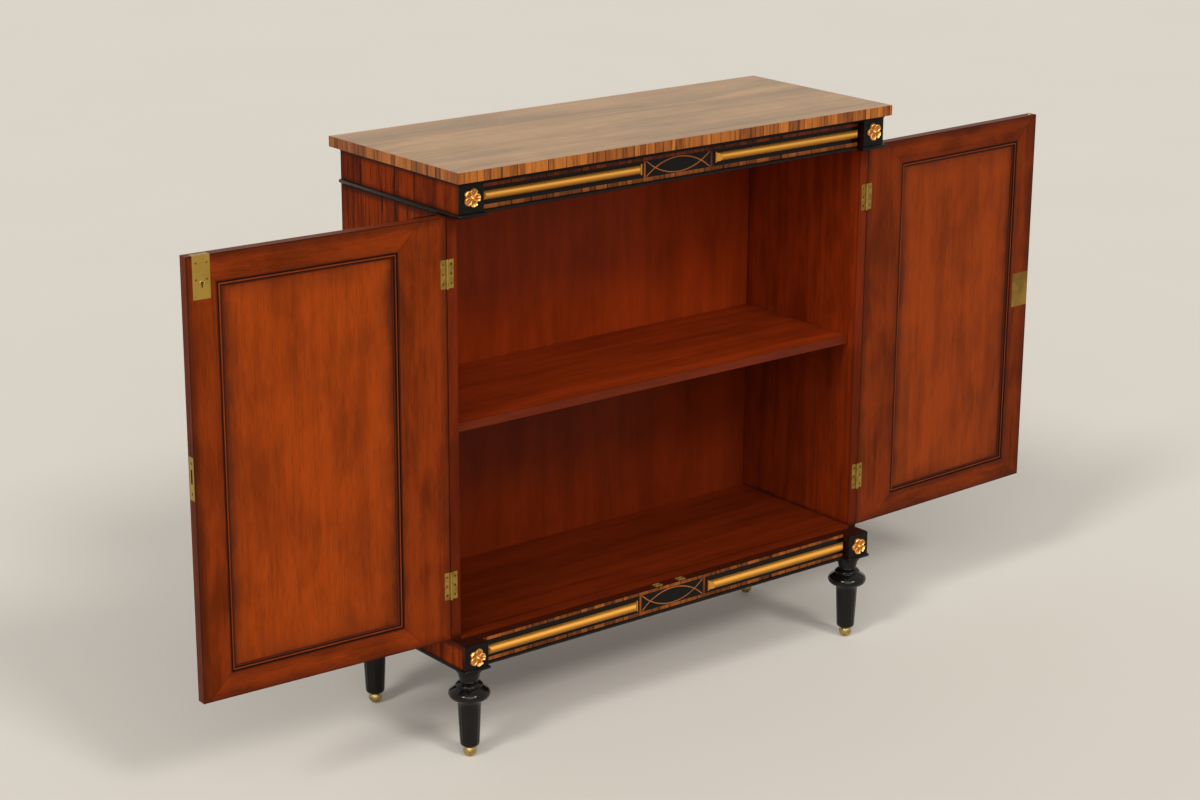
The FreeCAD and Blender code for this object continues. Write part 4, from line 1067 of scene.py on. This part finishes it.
class CABINET_OT_legs(bpy.types.Operator):
    """Turn the four reeded legs and finish their brass balls"""

    bl_idname = "cabinet.legs"
    bl_label = "Legs"

    def execute(self, context):
        carving = look().carving
        material = ebonised("leg black", rough=0.09, gloss=0.24, relief=0.0)
        low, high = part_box("ball_feet")
        rows = (("front", FRONT_LEGS_OUT, low.y + BALL), ("rear", REAR_LEGS_OUT, high.y - BALL))
        for depth, out, y in rows:
            for side, way in WAYS.items():
                mesh = bmesh.new()
                reeded_leg(mesh, Vector((way * out, y, 0)), carving)
                piece_from("leg_" + depth + "_" + side, mesh, material, "cabinet", ["legs"])
        dress(brass("ball brass", rough=0.3, tarnished=0.7, patch=0.006, tint=(1.1, 1.3, 2.4)), "ball_feet")
        return {"FINISHED"}


class CABINET_OT_doors(bpy.types.Operator):
    """Finish the frames, panels and inner mouldings of both doors"""

    bl_idname = "cabinet.doors"
    bl_label = "Doors"

    def execute(self, context):
        tones = look().colours
        glaze = look().grain.glaze
        # Painted light: each door's colours are scaled, lighter on the left and darker on the right
        for side, share in DOOR_PAINTED_LIGHT.items():
            panel = scaled(tones.panel, share)
            dark_panel = scaled(panel, 0.6)
            frame_wood = scaled(tones.frame_wood, share)
            low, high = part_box(side + "_door_moulding")
            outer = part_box(side + "_door_frame")
            # Dark glaze and painted shade reaching in from the moulding over the panel
            dress(wood(side + " panel veneer", panel, dark_panel, stripe=1.1, swirl=1.2, cloudy=0.5,
                       lines=0.15, pores=0.5, contrast=(0.34, 0.60), gloss=0.06,
                       glaze_and_shade_boxes=[(low - RAIL_GLAZE_AND_SHADE, high + RAIL_GLAZE_AND_SHADE, glaze + MOULDING, 0.72, "Y"),
                               (low, high, glaze * 3.2, 0.3, "Y")]),
                  side + "_door_panel")
            # Dark glaze and painted shade by the moulding, and painted shadow of the gap along the frame's
            # outer edges
            dress(wood(side + " door frame wood", frame_wood, scaled(frame_wood, 0.5), stripe=0.9, swirl=1.0,
                       cloudy=0.55, lines=0.2, pores=0.5, contrast=(0.36, 0.60), rails=(low, high),
                       gloss=0.04, glaze_and_shade_boxes=[(low, high, 0.0035, 0.85, "Y"), (low, high, 0.018, 0.2, "Y"),
                                           (*outer, 0.004, 0.7, "Y"), (*outer, 0.020, 0.5, "Y")]),
                  side + "_door_frame")
            # The moulding's colour carries painted shade in its grooves and a painted highlight on its bead
            veneer = wood(side + " moulding wood", panel, dark_panel, stripe=0.6, lines=0.1, gloss=0.1,
                          rough=0.26, stops=(low, high, MOULDING_SHADE_AND_HIGHLIGHT))
            piece_from(side + "_panel_moulding", panel_moulding(side), veneer, side + "_door",
                       [side + "_door_moulding"])
        return {"FINISHED"}


class CABINET_OT_mirrors(bpy.types.Operator):
    """Finish the mirrors, their gilt frames and the black pilasters with gilt rods"""

    bl_idname = "cabinet.mirrors"
    bl_label = "Mirrors and pilasters"

    def execute(self, context):
        dress(silvered_glass("mirror glass"), "left_door_mirror", "right_door_mirror")
        dress(gilding("frame gilding", shaded=0.4), "left_mirror_frame", "right_mirror_frame",
              "left_pilaster_rod", "right_pilaster_rod")
        dress(ebonised("pilaster black"), "left_pilaster", "right_pilaster")
        return {"FINISHED"}


class CABINET_OT_brassware(bpy.types.Operator):
    """Finish the hinges, locks, strikes, catches and screws"""

    bl_idname = "cabinet.brassware"
    bl_label = "Brassware"

    def execute(self, context):
        dress(brass("plate brass", tarnished=0.25, patch=0.03),
              "left_lock_case", "left_edge_strike", "right_escutcheon")
        dress(brass("dull brass", rough=0.42, tarnished=0.6, patch=0.05, tint=(0.75, 0.7, 0.65)),
              "right_lock_case", "left_catch_sleeves", "right_catch_sleeves")
        dress(brass("strike brass", rough=0.42, patch=0.012, metallic=0.5), "cabinet_strikes")
        dress(brass("hinge brass", tarnished=0.6, patch=0.012, tint=(0.85, 0.85, 0.9)),
              "cabinet_hinge_leaves", "hinge_pins", "left_hinge_leaves", "right_hinge_leaves")
        dress(brass("screw brass", rough=0.42, tarnished=1.0, patch=0.02, tint=(0.4, 0.4, 0.4)),
              "cabinet_screws", "left_door_screws", "right_door_screws")
        dress(brass("bolt brass", rough=0.3, tarnished=0.3, patch=0.004), "left_lock_bolt",
              "right_lock_bolt", "left_catch_plunger", "right_catch_plunger", "right_bullet")
        pin_brass = brass("pin brass", tarnished=1.0, tint=(0.5, 0.45, 0.4))
        piece_from("left_lock_pins", lock_pins("left"), pin_brass, "left_door", [])
        bush_brass = brass("bush brass", rough=0.3, tarnished=0.1, tint=(1.5, 1.5, 1.5))
        piece_from("left_lock_bush", lock_bush("left"), bush_brass, "left_door", [])
        return {"FINISHED"}


class CABINET_OT_stage(bpy.types.Operator):
    """Lay the floor, hang the lamps and set up the camera"""

    bl_idname = "cabinet.stage"
    bl_label = "Stage"

    def execute(self, context):
        values = look()
        scene = context.scene
        self.floor(values, scene)
        self.room(values, scene)
        self.lamp("left lamp", -72, 40, 13, values.stage.left_lamp, scene)
        self.lamp("right lamp", 2, 40, 13, values.stage.right_lamp, scene)
        self.lamp("front lamp", -33, 31, 50, values.stage.front_lamp, scene)
        self.camera(values, scene)
        scene.view_settings.view_transform = "Standard"
        return {"FINISHED"}

    def floor(self, values, scene):
        mesh = bmesh.new()
        bmesh.ops.create_grid(mesh, x_segments=2, y_segments=2, size=FLOOR_HALF)
        data = bpy.data.meshes.new("floor")
        mesh.to_mesh(data)
        mesh.free()
        made, bench, shader, position = new_material("floor paint")
        cloudy = bench.noise(position, 1.2, 3.0)["Fac"]
        base = bench.mix(cloudy, values.colours.floor, scaled(values.colours.floor, 0.96))
        bench.feed(shader, Base_Color=base, Roughness=0.75, Specular_IOR_Level=0.2)
        data.materials.append(made)
        sheet = bpy.data.objects.new("floor", data)
        scene.collection.objects.link(sheet)

    def room(self, values, scene):
        """Light from all round, and the backdrop that the camera, reflections and clear things see."""
        world = bpy.data.worlds.new("room")
        world.use_nodes = True
        scene.world = world
        bench = Bench(world.node_tree)
        lit = world.node_tree.nodes["Background"]
        bench.feed(lit, Color=WARM_WHITE, Strength=values.stage.room)
        seen = bench.feed(bench.node("ShaderNodeBackground"), Color=values.colours.backdrop)
        rays = bench.node("ShaderNodeLightPath").outputs
        share = bench.plus(bench.plus(rays["Is Camera Ray"], rays["Is Glossy Ray"]),
                           rays["Is Transmission Ray"], clamp=True)
        either = bench.node("ShaderNodeMixShader")
        bench.fill(either.inputs, share, lit.outputs[0], seen[0])
        bench.feed(world.node_tree.nodes["World Output"], Surface=either.outputs[0])

    def lamp(self, name, around, up, wide, energy, scene):
        """A far lamp: degrees round from the front, up from level and across its face."""
        light = bpy.data.lights.new(name, "SUN")
        light.energy = energy
        light.angle = math.radians(wide)
        light.color = WARM_WHITE
        made = bpy.data.objects.new(name, light)
        around = math.radians(around)
        up = math.radians(up)
        towards = Vector((math.sin(around) * math.cos(up), -math.cos(around) * math.cos(up), math.sin(up)))
        made.location = towards * LAMP_AWAY
        made.rotation_mode = "QUATERNION"
        made.rotation_quaternion = towards.to_track_quat("Z", "Y")
        scene.collection.objects.link(made)

    def camera(self, values, scene):
        camera = bpy.data.cameras.new("camera")
        camera.lens = values.stage.lens
        camera.sensor_width = 36.0
        camera.clip_end = 100.0
        stand = bpy.data.objects.new("camera", camera)
        scene.collection.objects.link(stand)
        heading, tilt, roll = values.stage.camera_turn
        turn = Matrix.Rotation(heading, 4, "Z") @ Matrix.Rotation(tilt, 4, "X")
        turn = turn @ Matrix.Rotation(roll, 4, "Z")
        stand.matrix_world = Matrix.Translation(values.stage.camera_place) @ turn
        scene.camera = stand


PIECES = (CABINET_OT_top, CABINET_OT_carcass, CABINET_OT_rails, CABINET_OT_rosettes, CABINET_OT_legs,
          CABINET_OT_doors, CABINET_OT_mirrors, CABINET_OT_brassware, CABINET_OT_stage)


class CABINET_PT_panel(bpy.types.Panel):
    """Lists the cabinet's pieces"""

    bl_idname = "CABINET_PT_panel"
    bl_label = "Mirrored cabinet"
    bl_space_type = "VIEW_3D"
    bl_region_type = "UI"
    bl_category = "Cabinet"

    def draw(self, context):
        for piece in PIECES:
            self.layout.operator(piece.bl_idname)
        for group in ("colours", "grain", "carving", "stage"):
            values = getattr(look(), group)
            box = self.layout.box()
            box.label(text=group.capitalize())
            for key in values.__annotations__:
                box.prop(values, key)


CLASSES = (CabinetColours, CabinetGrain, CabinetCarving, CabinetStage, CabinetLook, *PIECES,
           CABINET_PT_panel)


def register():
    for made in CLASSES:
        bpy.utils.register_class(made)
    bpy.types.Scene.cabinet_look = PointerProperty(type=CabinetLook, name="Cabinet look",
                                                   description="Sizes and colours of the cabinet")


def unregister():
    del bpy.types.Scene.cabinet_look
    for made in reversed(CLASSES):
        bpy.utils.unregister_class(made)


def main():
    register()
    bpy.ops.cabinet.stage()
    bpy.ops.cabinet.top()
    bpy.ops.cabinet.carcass()
    bpy.ops.cabinet.rails()
    bpy.ops.cabinet.rosettes()
    bpy.ops.cabinet.legs()
    bpy.ops.cabinet.doors()
    bpy.ops.cabinet.mirrors()
    bpy.ops.cabinet.brassware()


if __name__ == "__main__":
    main()
